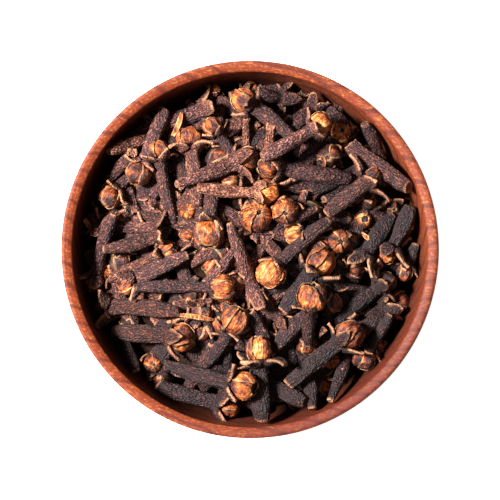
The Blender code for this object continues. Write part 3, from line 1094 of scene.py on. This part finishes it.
def roughness_at(points: np.ndarray, size: float) -> np.ndarray:
    """Smooth random heights at these points, from about -1 to 1.

    Args:
        points: places, in an array whose last axis is x, y, z.
        size: width of a bump.

    Returns:
        A height for each place.
    """
    rows = (points.reshape(-1, 3) / size).tolist()
    return np.array([noise.noise(row) for row in rows]).reshape(points.shape[:-1])


def there_and_back(points: int) -> np.ndarray:
    """Places across a thin form: from -1 to 1 on one side, and back on the other.

    Args:
        points: how many places the first side has, with both edges.

    Returns:
        The places, each edge once.
    """
    return np.concatenate([np.linspace(-1, 1, points), np.linspace(1, -1, points)[1:-1]])


# How the ends of a stem close, ring by ring: width as a share of the end's, how far the ring lies
# inside the end, and how pale it is. Under a ball the end is flat, because the ball covers it.
TAIL_CLOSING = ((0.45, 0.09, 0.25), (0.86, 0.0, 0.6))
HEAD_CLOSING = {
    Kind.STEM: ((0.86, 0.0, 0.6), (0.45, 0.16, 0.3)),
    Kind.OPEN: ((0.8, 0.0, 0.4), (0.62, 0.3, 0.15), (0.3, 0.7, 0.0)),
}


@dataclass
class Clove:
    """One clove where it lies, and the surfaces it is made of.

    Attributes:
        number: its place in the heap, which also seeds its small differences.
        kind: what is left of it.
        tail: its thin end.
        head: the middle of its ball, or its upper end.
        girth: the width of its stem.
        ball: the radius of its ball of petals, or 0.
        bend: how far its middle is pushed aside.
        roll: its turn about its own axis.
        hue: the colour that most of its ball has.
        fine: whether it shows, and so is modelled finely.
        neck_in_ball: how far under the ball's middle the cup's mouth is, in radii of the ball.
        open_rise: how far under the head the mouth of an open cup is.
        usual_mouth: the mouth's radius on a clove of middle size.
        sepal_length: how long a sepal is on such a clove.
        apart: how far the clove's patterns are moved from those of the one before.
        first_seed: the seed of the first clove.
        usual_shade: how dark a clove at the middle of the heap's top is.
        painted_shade_slope: how much darker it is, as painted shade, for each millimetre to the right or
            down in plan.
        shade_spread: how far a clove's own shade may be from that.
        painted_shade_by_depth: how much darker it is, as painted shade, for each millimetre under the
            top.
        top_height: the height from which depth counts.
        middle_shade: the shade at which a ball keeps its own tone.
        ball_shading: how much of a darker or a lighter shade, painted shade included, the ball takes on.
    """

    number: int
    kind: Kind
    tail: Vector
    head: Vector
    girth: float
    ball: float
    bend: float
    roll: float
    hue: Hue
    fine: bool = True
    neck_in_ball: float = 0.78
    open_rise: float = 1.6
    usual_mouth: float = 1.22
    sepal_length: float = 2.5
    apart: float = 41.0
    first_seed: int = 1000
    usual_shade: float = 0.19
    painted_shade_slope: float = 0.0048
    shade_spread: float = 0.15
    painted_shade_by_depth: float = 0.03
    top_height: float = 28.0
    middle_shade: float = 0.2
    ball_shading: float = 0.3

    def __post_init__(self) -> None:
        """Works out the clove's frame, and draws its own shape and shade."""
        axis = self.head - self.tail
        self.length = axis.length
        lay = axis.to_track_quat("Z", "Y").to_matrix().to_4x4()
        self.place = np.array(Matrix.Translation(self.tail) @ lay)
        self.draw = Random(self.first_seed + self.number)
        self.tone = self.draw.random() ** 1.3
        self.taper = self.draw.uniform(-0.36, 0.16)
        self.belly = self.draw.uniform(-0.09, 0.09)
        self.flare = self.draw.uniform(0.16, 0.42)
        if self.kind is Kind.STEM:
            self.flare = 0.0
        self.cut_tilt = self.draw.uniform(-0.5, 0.5)
        self.phases = [self.draw.uniform(0.0, math.tau) for _ in range(6)]
        # Painted shade: cloves are darker towards the lower right and the deeper they lie, on top of
        # each one's own darkness.
        middle = (self.head + self.tail) / 2
        depth = min(max(self.top_height - middle.z, -1.0), 6.0)
        self.shade = self.usual_shade + self.painted_shade_slope * (middle.x - middle.y)
        self.shade += self.draw.uniform(-self.shade_spread, self.shade_spread)
        self.shade += self.painted_shade_by_depth * depth

    @property
    def neck(self) -> float:
        """How far along the cup's mouth is.

        Returns:
            Its distance from the tail in millimetres.
        """
        if self.ball:
            return self.length - self.neck_in_ball * self.ball
        return self.length - (self.open_rise if self.kind is Kind.OPEN else 0.0)

    @property
    def mouth(self) -> float:
        """Radius of the cup's mouth."""
        return self.girth / 2 * (float(swell(1.0)) + self.flare)

    def own(self, rings: np.ndarray) -> np.ndarray:
        """Places on the clove itself, moved apart for each clove so that no two look alike."""
        return rings + np.array([0.0, 0.0, self.apart * self.number])

    def width(self, share: np.ndarray) -> np.ndarray:
        """Half width along this clove's stem: tapered, bellied and flared in its own way.

        Args:
            share: how far along the stem from its tail, from 0 to 1.

        Returns:
            Half widths in millimetres.
        """
        form = 1 + self.taper * (1 - share) ** 2 + self.belly * np.sin(math.tau * share)
        cup = self.flare * np.clip((share - 0.80) / 0.20, 0.0, 1.0) ** 1.5
        return self.girth / 2 * (swell(share) * form + cup)

    def ridges(self, turn: np.ndarray, share: np.ndarray) -> np.ndarray:
        """How much wider the stem is at each place than its plain round form.

        Args:
            turn: angles round the stem.
            share: places along it, in a column.

        Returns:
            What its corners, dents and long wrinkles add, as shares of its half width.
        """
        phase = self.phases
        corners = (0.015 + 0.05 * share**2) * np.cos(4 * (turn - self.roll - math.pi / 4))
        dents = 0.05 * np.sin(turn + 5 * share + phase[0])
        dents = dents + 0.035 * np.sin(2 * turn + 8 * share + phase[1])
        wrinkles = 0.028 * np.sin(9 * turn + 2.4 * np.sin(5 * share + phase[2]) + phase[3])
        wrinkles = wrinkles + 0.02 * np.sin(13 * turn + 3.1 * np.sin(7 * share + phase[4]) + phase[5])
        return corners + dents + wrinkles

    def cuts(self, turn: np.ndarray, share: np.ndarray, radius: np.ndarray) -> np.ndarray:
        """How far the slanted and broken ends move each place along the stem.

        Args:
            turn: angles round the stem.
            share: places along it, in a column.
            radius: half widths at these places.

        Returns:
            Distances towards the head.
        """
        phase, fade = self.phases, 0.8
        tail_end = self.cut_tilt * radius[0] * np.cos(turn - phase[0])
        moved = tail_end * np.exp(-share * self.neck / fade)
        if self.kind is Kind.STEM:
            head_end = 0.45 * radius[-1] * np.cos(turn - phase[2])
            moved = moved + head_end * np.exp(-(1 - share) * self.neck / fade)
            moved = moved + 0.12 * np.sin(5 * turn + phase[1]) * (share > 0.999)
        return moved

    def stem(self) -> tuple[np.ndarray, dict[str, np.ndarray]]:
        """Shapes the stem and its cup, from a blunt cut tail to the mouth.

        Returns:
            Rings from the tail to the mouth, and their painted values.
        """
        sides, rings_per_mm = (32, 5.0) if self.fine else (16, 1.8)
        turn = np.linspace(0.0, math.tau, sides, endpoint=False)
        share = np.linspace(0.0, 1.0, round(rings_per_mm * self.neck))[:, None]
        radius = self.width(share) * (1 + self.ridges(turn, share))
        at = share * self.neck / self.length
        aside = self.bend * 4 * at * (1 - at)
        sway = 0.22 * np.sin(5 * share + self.phases[5]) * share * (1 - share) * 4
        up = share * self.neck + self.cuts(turn, share, radius)
        rings = np.stack([aside + radius * np.cos(turn), sway + radius * np.sin(turn), up], axis=-1)
        middles = np.stack([aside + 0 * turn, sway + 0 * turn, up], axis=-1)
        rough = sum(
            rise * roughness_at(self.own(rings), size) for rise, size in ((0.055, 0.9), (0.035, 0.38))
        )
        rings = middles + (rings - middles) * (1 + rough / np.maximum(radius, 0.3))[..., None]
        tail_worn, head_worn = 0.22, 0.25
        pale = np.exp(-(share * self.neck / tail_worn) ** 2) * self.draw.uniform(0.0, 0.9)
        if self.kind is Kind.STEM:
            broken = np.exp(-((1 - share) * self.neck / head_worn) ** 2)
            pale = pale + broken * self.draw.uniform(0.1, 1.0)
        head_closing = HEAD_CLOSING.get(self.kind, ())
        rings = np.array([
            *(self.closing(rings[0], scale, inside) for scale, inside, _ in TAIL_CLOSING),
            *rings,
            *(self.closing(rings[-1], scale, -inside) for scale, inside, _ in head_closing),
        ])
        pale = np.array([
            *(level * pale[0] for _, _, level in TAIL_CLOSING),
            *pale,
            *(np.array([level]) for _, _, level in head_closing),
        ])
        shape = rings.shape[:2]
        return rings, {
            "own": self.own(rings),
            "tone": np.full(shape, self.tone),
            "shade": np.full(shape, self.shade),
            "rim": np.broadcast_to(np.clip(pale, 0.0, 0.85), shape),
        }

    @staticmethod
    def closing(ring: np.ndarray, scale: float, rise: float) -> np.ndarray:
        """Draws a ring in towards its middle and moves it along the clove."""
        middle = ring.mean(axis=0)
        return middle + (ring - middle) * scale + np.array([0.0, 0.0, rise])

    def sepal(
        self, angle: float, across: np.ndarray, outer: np.ndarray, along: np.ndarray
    ) -> np.ndarray:
        """Shapes one sepal, which leans out from the cup's mouth and curls on its way to the tip.

        Args:
            angle: where round the clove it stands.
            across: places across it, from edge to edge and back, from -1 to 1.
            outer: 1 on its outer side and -1 on its inner side.
            along: places along it, from 0 to 1.

        Returns:
            Rings from its foot to its tip.
        """
        draw = self.draw
        size = self.mouth / self.usual_mouth
        length = self.sepal_length * size * draw.uniform(0.75, 1.2)
        first = math.radians(draw.uniform(44, 62) if self.ball else draw.uniform(12, 40))
        last = math.radians(draw.choice((5, 20, 40, 65, 95, 130)))
        twist = draw.uniform(-0.35, 0.35)
        # One sepal in five has lost its tip, and an open cup's sepals are blunter.
        reach = 0.8 if draw.random() < 0.2 else 1.0
        pointedness = 2.2 if self.ball else 3.0
        out, up = self.mouth * 0.84, self.neck - 0.45 * size
        rings = []
        for step, share in enumerate(along):
            heading = first + (last - first) * share**1.5
            if step:
                stride = length * (share - along[step - 1])
                out += math.sin(heading) * stride
                up += math.cos(heading) * stride
            taper = 1 - (share * reach) ** pointedness
            half = 0.78 * self.mouth * taper * (1 + 0.2 * share) + 0.08
            thick = (0.36 - 0.16 * share) * size
            hug = half**2 / (3.2 * self.mouth) * across**2
            normal = outer * thick * np.sqrt(np.clip(1 - 0.9 * across**2, 0.04, 1)) - hug
            side = across * half + twist * share**2 * length * 0.5
            away = out + normal * math.cos(heading)
            rings.append(np.stack([
                away * math.cos(angle) - side * math.sin(angle),
                away * math.sin(angle) + side * math.cos(angle),
                up - normal * math.sin(heading),
            ], axis=-1))
        return np.array(rings)

    def sepals(self) -> Iterator[tuple[np.ndarray, dict[str, np.ndarray]]]:
        """Shapes the four stubby lobes that carry on from the cup and cradle the ball.

        Yields:
            Rings from each lobe's foot to its tip, and their painted values.
        """
        edge_points, steps = (9, 11) if self.fine else (5, 6)
        across = there_and_back(edge_points)
        outer = np.concatenate([np.ones(edge_points), -np.ones(edge_points - 2)])
        along = np.linspace(0.0, 1.0, steps)
        for number in range(4):
            angle = self.roll + math.pi / 4 + math.pi / 2 * number + self.draw.uniform(-0.14, 0.14)
            rings = self.sepal(angle, across, outer, along)
            wobble = 0.09 * roughness_at(self.own(rings) + 5.0 * number, 0.9)
            rings = rings + wobble[..., None]
            edge = np.clip((np.abs(across) - 0.7) / 0.3, 0, 1)[None, :] * (along[:, None] > 0.25)
            tip = np.clip((along - 0.84) / 0.16, 0, 1)[:, None]
            rim = np.clip(np.maximum(edge, tip), 0, 1) * self.draw.uniform(0.35, 0.95)
            shape = rings.shape[:2]
            yield rings, {
                "own": self.own(rings),
                "tone": np.full(shape, min(self.tone + 0.25, 1.0)),
                "shade": np.full(shape, self.shade),
                "rim": np.broadcast_to(rim, shape),
            }

    def petals(self) -> Iterator[tuple[np.ndarray, dict[str, np.ndarray]]]:
        """Shapes the four petals that wrap the ball, each with one edge over the next.

        Yields:
            Rings from each petal's foot to its tip, and their painted values.
        """
        draw = self.draw
        gap = draw.choice((5.0, 8.0, 12.0, 16.0, 30.0))
        spiral = math.radians(draw.uniform(-34, 34))
        stretch = draw.uniform(0.9, 1.1)
        fade = draw.uniform(-0.35, 0.35)
        edge_points, steps = (15, 16) if self.fine else (8, 8)
        across = there_and_back(edge_points)
        inner = np.concatenate([np.zeros(edge_points), np.ones(edge_points - 2)])
        fall = np.linspace(0.0, 1.0, steps)[:, None]
        foot = math.radians(130)
        # The ball takes on part of its clove's shade, painted shade included.
        lighter = self.ball_shading * (self.middle_shade - self.shade)
        for number in range(4):
            middle = self.roll + math.pi / 2 * number + draw.uniform(-0.15, 0.15)
            tip = math.radians(gap + draw.uniform(-4, 8))
            polar = foot + (tip - foot) * fall
            half = math.radians(draw.uniform(54, 88)) * (1 - 0.3 * fall**4)
            wave = draw.uniform(0.03, 0.10) * np.sin(draw.uniform(4, 8) * fall + number)
            around = middle + spiral * fall + (across + wave * across**2) * half
            # Each petal is a little hollow, and its one edge lies over the next and lifts at the tip.
            lap = 0.94 + 0.055 * (across + 1) - 0.025 * (1 - across**2)
            curl = draw.uniform(0.0, 0.09) * np.clip(across, 0, 1) ** 5 * fall
            # The ball is flattened at its top and squarish round its sides.
            flat = 1 - 0.12 * np.cos(polar) ** 8
            square = 1 + 0.03 * np.cos(4 * (around - self.roll))
            away = np.stack([
                np.sin(polar) * np.cos(around),
                np.sin(polar) * np.sin(around),
                np.cos(polar) * stretch + 0 * around,
            ], axis=-1)
            dents = 0.11 * roughness_at(self.own(away * self.ball), 1.25)
            creases = 0.055 * roughness_at(self.own(away * self.ball) + 9.0 * number, 0.42)
            radius = self.ball * (lap + curl + dents + creases) * flat * square - inner * 0.12
            rings = radius[..., None] * away + np.array([0.0, 0.0, self.length])
            edge = np.clip((np.abs(across) - 0.84) / 0.14, 0, 1)[None, :]
            top = np.clip((fall - 0.9) / 0.1, 0, 1)
            rim = np.clip(np.maximum(edge, top), 0, 1) * draw.uniform(0.5, 1.0)
            tone = self.hue.value + draw.uniform(-0.22, 0.2) + fade * (fall - 0.5) + 0 * across
            place = np.stack([
                (around - middle) * self.ball,
                polar * self.ball + 0 * around,
                np.full_like(around, 7.0 * number + 3.1 * self.number),
            ], axis=-1)
            yield rings, {
                "own": place, "tone": tone + lighter, "rim": np.broadcast_to(rim, rings.shape[:2]),
            }

    def heart(self) -> tuple[np.ndarray, dict[str, np.ndarray]]:
        """Shapes the dark ball that shows between the petals.

        Returns:
            Rings from its foot to its top, and their painted values.
        """
        turn = np.linspace(0.0, math.tau, 14, endpoint=False)
        polar = np.linspace(math.radians(172), math.radians(8), 11)[:, None]
        radius = self.ball * 0.86 * (1 + 0.03 * np.sin(5 * turn + 4 * polar))
        rings = np.stack([
            radius * np.sin(polar) * np.cos(turn),
            radius * np.sin(polar) * np.sin(turn),
            self.length + radius * np.cos(polar) * 0.9 + 0 * turn,
        ], axis=-1)
        shape = rings.shape[:2]
        return rings, {
            "own": self.own(rings), "tone": np.full(shape, -0.05), "rim": np.zeros(shape),
        }


@dataclass
class CloveHeap:
    """The cloves as they come to rest on each other, over a dark core of painted shade.

    Attributes:
        bowl: the bowl that holds them.
        sink: how far a clove settles into what it lies on.
        facet: how wide a clove counts where it rests, as a share of its girth.
        bud_sink: how far a clove that stands on end settles.
        bud_stem: how long the stem is that is modelled under its ball.
        bud_length: how long such a clove is in all.
        tail_reach: how far from the axis a tail can be.
        head_reach: how far from the axis the outside of a ball can be.
        bead_step: the distance between the beads that stand for a stem as it falls.
        steepest: the steepest slope at which a clove can rest.
        slopes: how many slopes are tried.
        balance: where along a clove its weight is.
        most_bend: the most that a clove is bent, as a share of its length.
        seed: the seed of the bends and turns.
        deep_count: how many half-sunk cloves fill the gaps.
        deep_reach: how far from the axis their middles are.
        deep_turn: the angle from one of them to the next, which spreads them evenly.
        top: the height over which the heap is pressed down.
        give: how far what is pressed down may still stand up.
        core_sink: how far under the dome the core's surface is.
        core_gap: how far the core is drawn in from the wood.
        cloves: the cloves that show.
        deep: the half-sunk ones.
    """

    bowl: TurnedBowl
    sink: float = 0.4
    facet: float = 0.92
    bud_sink: float = 1.2
    bud_stem: float = 6.0
    bud_length: float = 14.0
    tail_reach: float = 29.2
    head_reach: float = 29.0
    bead_step: float = 0.5
    steepest: float = 0.55
    slopes: int = 45
    balance: float = 0.58
    most_bend: float = 0.035
    seed: int = 11
    deep_count: int = 120
    deep_reach: float = 25.5
    deep_turn: float = math.radians(137.5)
    top: float = 31.4
    give: float = 0.5
    core_sink: float = 2.4
    core_gap: float = 0.7
    cloves: list[Clove] = field(default_factory=list)
    deep: list[Clove] = field(default_factory=list)

    def __post_init__(self) -> None:
        """Lays out the heap."""
        self.ground = Ground(self.bowl)
        self.lay_showing()
        self.lay_deep()

    def pulled_in(
        self, tail: Vector, head: Vector, girth: float, ball: float
    ) -> tuple[Vector, Vector]:
        """Moves a clove in plan until neither of its ends is over the bowl's side.

        Args:
            tail: its tail in plan.
            head: its head in plan.
            girth: the width of its stem.
            ball: the radius of its ball.

        Returns:
            The moved tail and head.
        """
        for end, reach in ((tail, self.tail_reach), (head, self.head_reach - max(ball, girth / 2))):
            excess = end.length - reach
            if excess > 0:
                shift = end.normalized() * excess
                tail, head = tail - shift, head - shift
        return tail, head

    def settle(
        self, kind: Kind, tail: Vector, head: Vector, girth: float, ball: float
    ) -> tuple[Vector, Vector]:
        """Drops a clove on the ground, where it balances on two supports.

        Args:
            kind: what is left of it.
            tail: its tail in plan.
            head: its head in plan.
            girth: the width of its stem.
            ball: the radius of its ball.

        Returns:
            The tail and the head where they come to rest.
        """
        length = (head - tail).length
        count = max(int(length / self.bead_step), 3)
        beads = [
            (step / count, self.facet * girth / 2 * float(swell(step / count)))
            for step in range(1, count + 1)
        ]
        if ball:
            beads.append((1.0, self.facet * ball))
        if kind is Kind.BUD:
            beads = [beads[-1]]
        sink = self.bud_sink if kind is Kind.BUD else self.sink
        shares = np.array([share for share, _ in beads])
        places = [tail.lerp(head, share) for share, _ in beads]
        floors = np.array([
            self.ground.support(p.x, p.y, radius) for p, (_, radius) in zip(places, beads)
        ])
        slopes = np.linspace(-self.steepest, self.steepest, self.slopes)
        rise = slopes[:, None] * (shares[None, :] - self.balance) * length
        lift = np.max(floors[None, :] - rise, axis=1)
        best = int(np.argmin(lift))
        heights = lift[best] + rise[best] - sink
        for place, (_, radius), height in zip(places, beads, heights):
            self.ground.cover(place.x, place.y, float(height), radius)
        if kind is Kind.BUD:
            top = Vector((head.x, head.y, float(heights[0])))
            fall = math.sqrt(self.bud_length**2 - length**2)
            foot = Vector((tail.x, tail.y, float(heights[0]) - fall))
            return top + (foot - top).normalized() * self.bud_stem, top
        low, high = (
            float(lift[best] + slopes[best] * (share - self.balance) * length - sink)
            for share in (0.0, 1.0)
        )
        return Vector((tail.x, tail.y, low)), Vector((head.x, head.y, high))

    def lay_showing(self) -> None:
        """Lays the cloves that show, from the bottom of the heap up."""
        rng = Random(self.seed)
        for number, (word, tail_x, tail_y, head_x, head_y, girth, ball, hue) in enumerate(HEAP):
            kind = Kind(word)
            ends = Vector((tail_x, tail_y, 0.0)), Vector((head_x, head_y, 0.0))
            tail, head = self.settle(kind, *self.pulled_in(*ends, girth, ball), girth, ball)
            bend = rng.uniform(-self.most_bend, self.most_bend) * (head - tail).length
            roll = rng.uniform(0.0, math.tau)
            self.cloves.append(Clove(number, kind, tail, head, girth, ball, bend, roll, Hue[hue]))

    def lay_deep(self) -> None:
        """Lays the cloves in the gaps, half sunk in the core's dome."""
        rng = Random(self.seed + 1)
        for number in range(self.deep_count):
            distance = self.deep_reach * math.sqrt((number + 0.5) / self.deep_count)
            bearing = number * self.deep_turn + rng.uniform(-0.3, 0.3)
            middle = Vector((distance * math.cos(bearing), distance * math.sin(bearing), 0.0))
            heading = rng.uniform(0.0, math.tau)
            way = Vector((math.cos(heading), math.sin(heading), 0.0)) * rng.uniform(5.0, 7.5)
            girth = rng.uniform(1.8, 2.8)
            whole = rng.random() < 0.4
            ball = rng.uniform(1.5, 2.1) if whole else 0.0
            ends = self.pulled_in(middle - way, middle + way, girth + 1.0, ball)
            kind = Kind.WHOLE if whole else Kind.STEM
            laid = []
            for end in ends:
                dome = float(self.ground.dome(np.float64(min(end.length, self.deep_reach + 0.5))))
                laid.append(Vector((end.x, end.y, dome - rng.uniform(0.5, 1.3))))
            bend, roll = rng.uniform(-0.5, 0.5), rng.uniform(0.0, math.tau)
            hue = rng.choice((Hue.PLUM, Hue.RUSSET, Hue.AMBER))
            self.deep.append(
                Clove(DEEP_START + number, kind, *laid, girth, ball, bend, roll, hue, fine=False)
            )

    def core(self) -> bpy.types.Object:
        """Makes the dark dome under the cloves, whose colour is painted shade.

        Returns:
            The core.
        """
        radius = self.ground.core_radius
        under = [
            (r, float(self.bowl.inside_height(r, self.core_gap)))
            for r in radius * 0.97 * np.sin(np.linspace(0.02, 1.0, 12) * math.pi / 2)
        ]
        over = [
            (r, float(self.ground.dome(r)) - self.core_sink)
            for r in radius * np.linspace(0.9, 0.02, 10)
        ]
        skin = Skin()
        skin.loft(turned(under + over, 64), np.eye(4))
        # The core's near-black colour is painted shade between the cloves.
        return skin.to_object("heap_core", PaintedShadeCore().material())

    def scraps(self) -> Skin:
        """Lays the loose petals and splinters on top, as thin curled strips.

        Returns:
            Their surfaces.
        """
        skin = Skin()
        turn = np.linspace(0.0, math.tau, 12, endpoint=False)
        share = np.linspace(0.0, 1.0, 16)[:, None]
        for number, (tail_x, tail_y, head_x, head_y, width, thick, curl) in enumerate(SCRAPS):
            tail, head = Vector((tail_x, tail_y)), Vector((head_x, head_y))
            low, high = (
                self.ground.support(end.x, end.y, width / 2) - 0.1 for end in (tail, head)
            )
            side = (head - tail).orthogonal().normalized()
            arc = 4 * share * (1 - share)
            half = width / 2 * np.sin(np.pi * (0.12 + 0.8 * share)) ** 0.6
            across = half * np.cos(turn) + 0.35 * curl * arc
            rise = thick / 2 * np.sin(turn) + 0.25 * width * np.cos(turn) ** 2 + curl * arc
            rings = np.stack([
                tail.x + (head.x - tail.x) * share + side.x * across,
                tail.y + (head.y - tail.y) * share + side.y * across,
                low + (high - low) * share + rise + 0 * across,
            ], axis=-1)
            rings = rings + 0.08 * roughness_at(rings + 3.0 * number, 0.6)[..., None]
            shape = rings.shape[:2]
            rim = np.broadcast_to(np.abs(np.cos(turn)) ** 3, shape)
            skin.loft(
                rings, np.eye(4), own=rings + 11.0 * number, tone=np.full(shape, 0.62), rim=rim
            )
        return skin

    def press(self, skin: Skin) -> None:
        """Presses down what stands over the heap's top, so that it ends within its give.

        Args:
            skin: the pieces' surfaces, which are changed.
        """
        for points in skin.points:
            over = np.maximum(points[:, 2] - self.top, 0.0)
            points[:, 2] -= over - self.give * (1 - np.exp(-over / self.give))

    def build(self, stem: DriedCloveSkin, petal: PaperyPetal) -> list[bpy.types.Object]:
        """Makes the heap's pieces, one for each kind.

        Args:
            stem: the finish of stems and sepals.
            petal: the finish of the balls.

        Returns:
            The pieces, which together stand for the heap's solid.
        """
        stem_material, petal_material = stem.material(), petal.material()
        stems = ("whole_stems", "broken_stems", "sepals", "deep_stems")
        balls = ("petals", "hearts", "deep_balls")
        skins = {name: Skin() for name in stems + balls}
        for clove in self.cloves + self.deep:
            stem_kind = "whole_stems" if clove.kind is Kind.WHOLE else "broken_stems"
            forms = [(stem_kind, "deep_stems", clove.stem())]
            if clove.kind is not Kind.STEM:
                forms += [("sepals", "deep_stems", sepal) for sepal in clove.sepals()]
            if clove.ball:
                forms += [("petals", "deep_balls", shape) for shape in clove.petals()]
                forms.append(("hearts", "deep_balls", clove.heart()))
            for fine, deep, (rings, paint) in forms:
                skins[fine if clove.fine else deep].loft(rings, clove.place, **paint)
        for skin in skins.values():
            self.press(skin)
        pieces = [
            skin.to_object(f"clove_{name}", petal_material if name in balls else stem_material)
            for name, skin in skins.items()
        ]
        pieces.append(self.scraps().to_object("loose_petal_scraps", petal_material))
        pieces.append(self.core())
        for piece in pieces:
            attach(piece, "root")
            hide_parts("cloves")
        return pieces


# The studio.


@dataclass
class Studio:
    """The pale floor, the lights and the camera straight above the bowl.

    Attributes:
        view_distance: the camera's height over the floor.
        view_offset: how far the camera is moved up in plan, or down where it is below 0.
        rim_pixels: how wide the rim is in the picture.
        picture_pixels: how wide the picture is.
        sensor_width: the width of the camera's sensor.
        nearest: how near the camera still sees.
        bowl_width: the width of the rim.
        rim_height: the height at which the rim is widest in the picture.
        key_direction: the way to the key light.
        key_target: the height that it points at.
        key_distance: how far away it is.
        key_size: how wide it is.
        key_watts: its power.
        world_light: the strength of the even light from all sides.
        floor_reach: how far the floor goes from the bowl.
    """

    view_distance: float = 600.0
    view_offset: float = -0.085
    rim_pixels: float = 378.0
    picture_pixels: float = 500.0
    sensor_width: float = 36.0
    nearest: float = 50.0
    bowl_width: float = 64.0
    rim_height: float = 29.2
    key_direction: tuple[float, float, float] = (-0.98, 0.22, 1.2)
    key_target: float = 20.0
    key_distance: float = 600.0
    key_size: float = 110.0
    key_watts: float = 16.8
    world_light: float = 0.17
    floor_reach: float = 1500.0

    def camera(self) -> None:
        """Sets the camera so that the bowl's rim is as wide in the picture as it should be."""
        lens = bpy.data.cameras.new("camera")
        camera = bpy.data.objects.new("camera", lens)
        bpy.context.scene.collection.objects.link(camera)
        shown = self.bowl_width * self.picture_pixels / self.rim_pixels
        lens.sensor_width = self.sensor_width
        lens.lens = lens.sensor_width * (self.view_distance - self.rim_height) / shown
        lens.clip_start = self.nearest * MM
        camera.location = (0.0, self.view_offset * MM, self.view_distance * MM)
        bpy.context.scene.camera = camera

    def lights(self) -> None:
        """Adds a key light from the upper left and an even pale surrounding."""
        lamp = bpy.data.lights.new("key", "AREA")
        lamp.shape = "DISK"
        lamp.size = self.key_size * MM
        lamp.energy = self.key_watts
        key = bpy.data.objects.new("key", lamp)
        way = Vector(self.key_direction).normalized()
        key.location = way * self.key_distance * MM + Vector((0.0, 0.0, self.key_target * MM))
        key.rotation_euler = way.to_track_quat("Z", "Y").to_euler()
        bpy.context.scene.collection.objects.link(key)
        world = bpy.data.worlds.new("studio")
        world.use_nodes = True
        background = world.node_tree.nodes["Background"]
        background.inputs["Color"].default_value = (1.0, 1.0, 1.0, 1.0)
        background.inputs["Strength"].default_value = self.world_light
        bpy.context.scene.world = world
        bpy.context.scene.view_settings.view_transform = "Standard"

    def floor(self, finish: WhiteTable) -> None:
        """Lays the floor under the bowl.

        Args:
            finish: the floor's finish.
        """
        mesh = bpy.data.meshes.new("floor")
        half = self.floor_reach * MM
        corners = [(half * x, half * y, 0.0) for x, y in ((-1, -1), (1, -1), (1, 1), (-1, 1))]
        mesh.from_pydata(corners, [], [(0, 1, 2, 3)])
        add_object("floor", mesh, finish.material())


def main() -> None:
    """Builds the bowl, the heap and the studio, and reports each piece."""
    logging.basicConfig(level=logging.INFO, format="%(name)s: %(message)s")
    bowl = TurnedBowl()
    report(bowl.build(OiledBeech()))
    heap = CloveHeap(bowl)
    for piece in heap.build(DriedCloveSkin(), PaperyPetal()):
        report(piece)
    studio = Studio()
    studio.camera()
    studio.lights()
    studio.floor(WhiteTable())


if __name__ == "__main__":
    main()
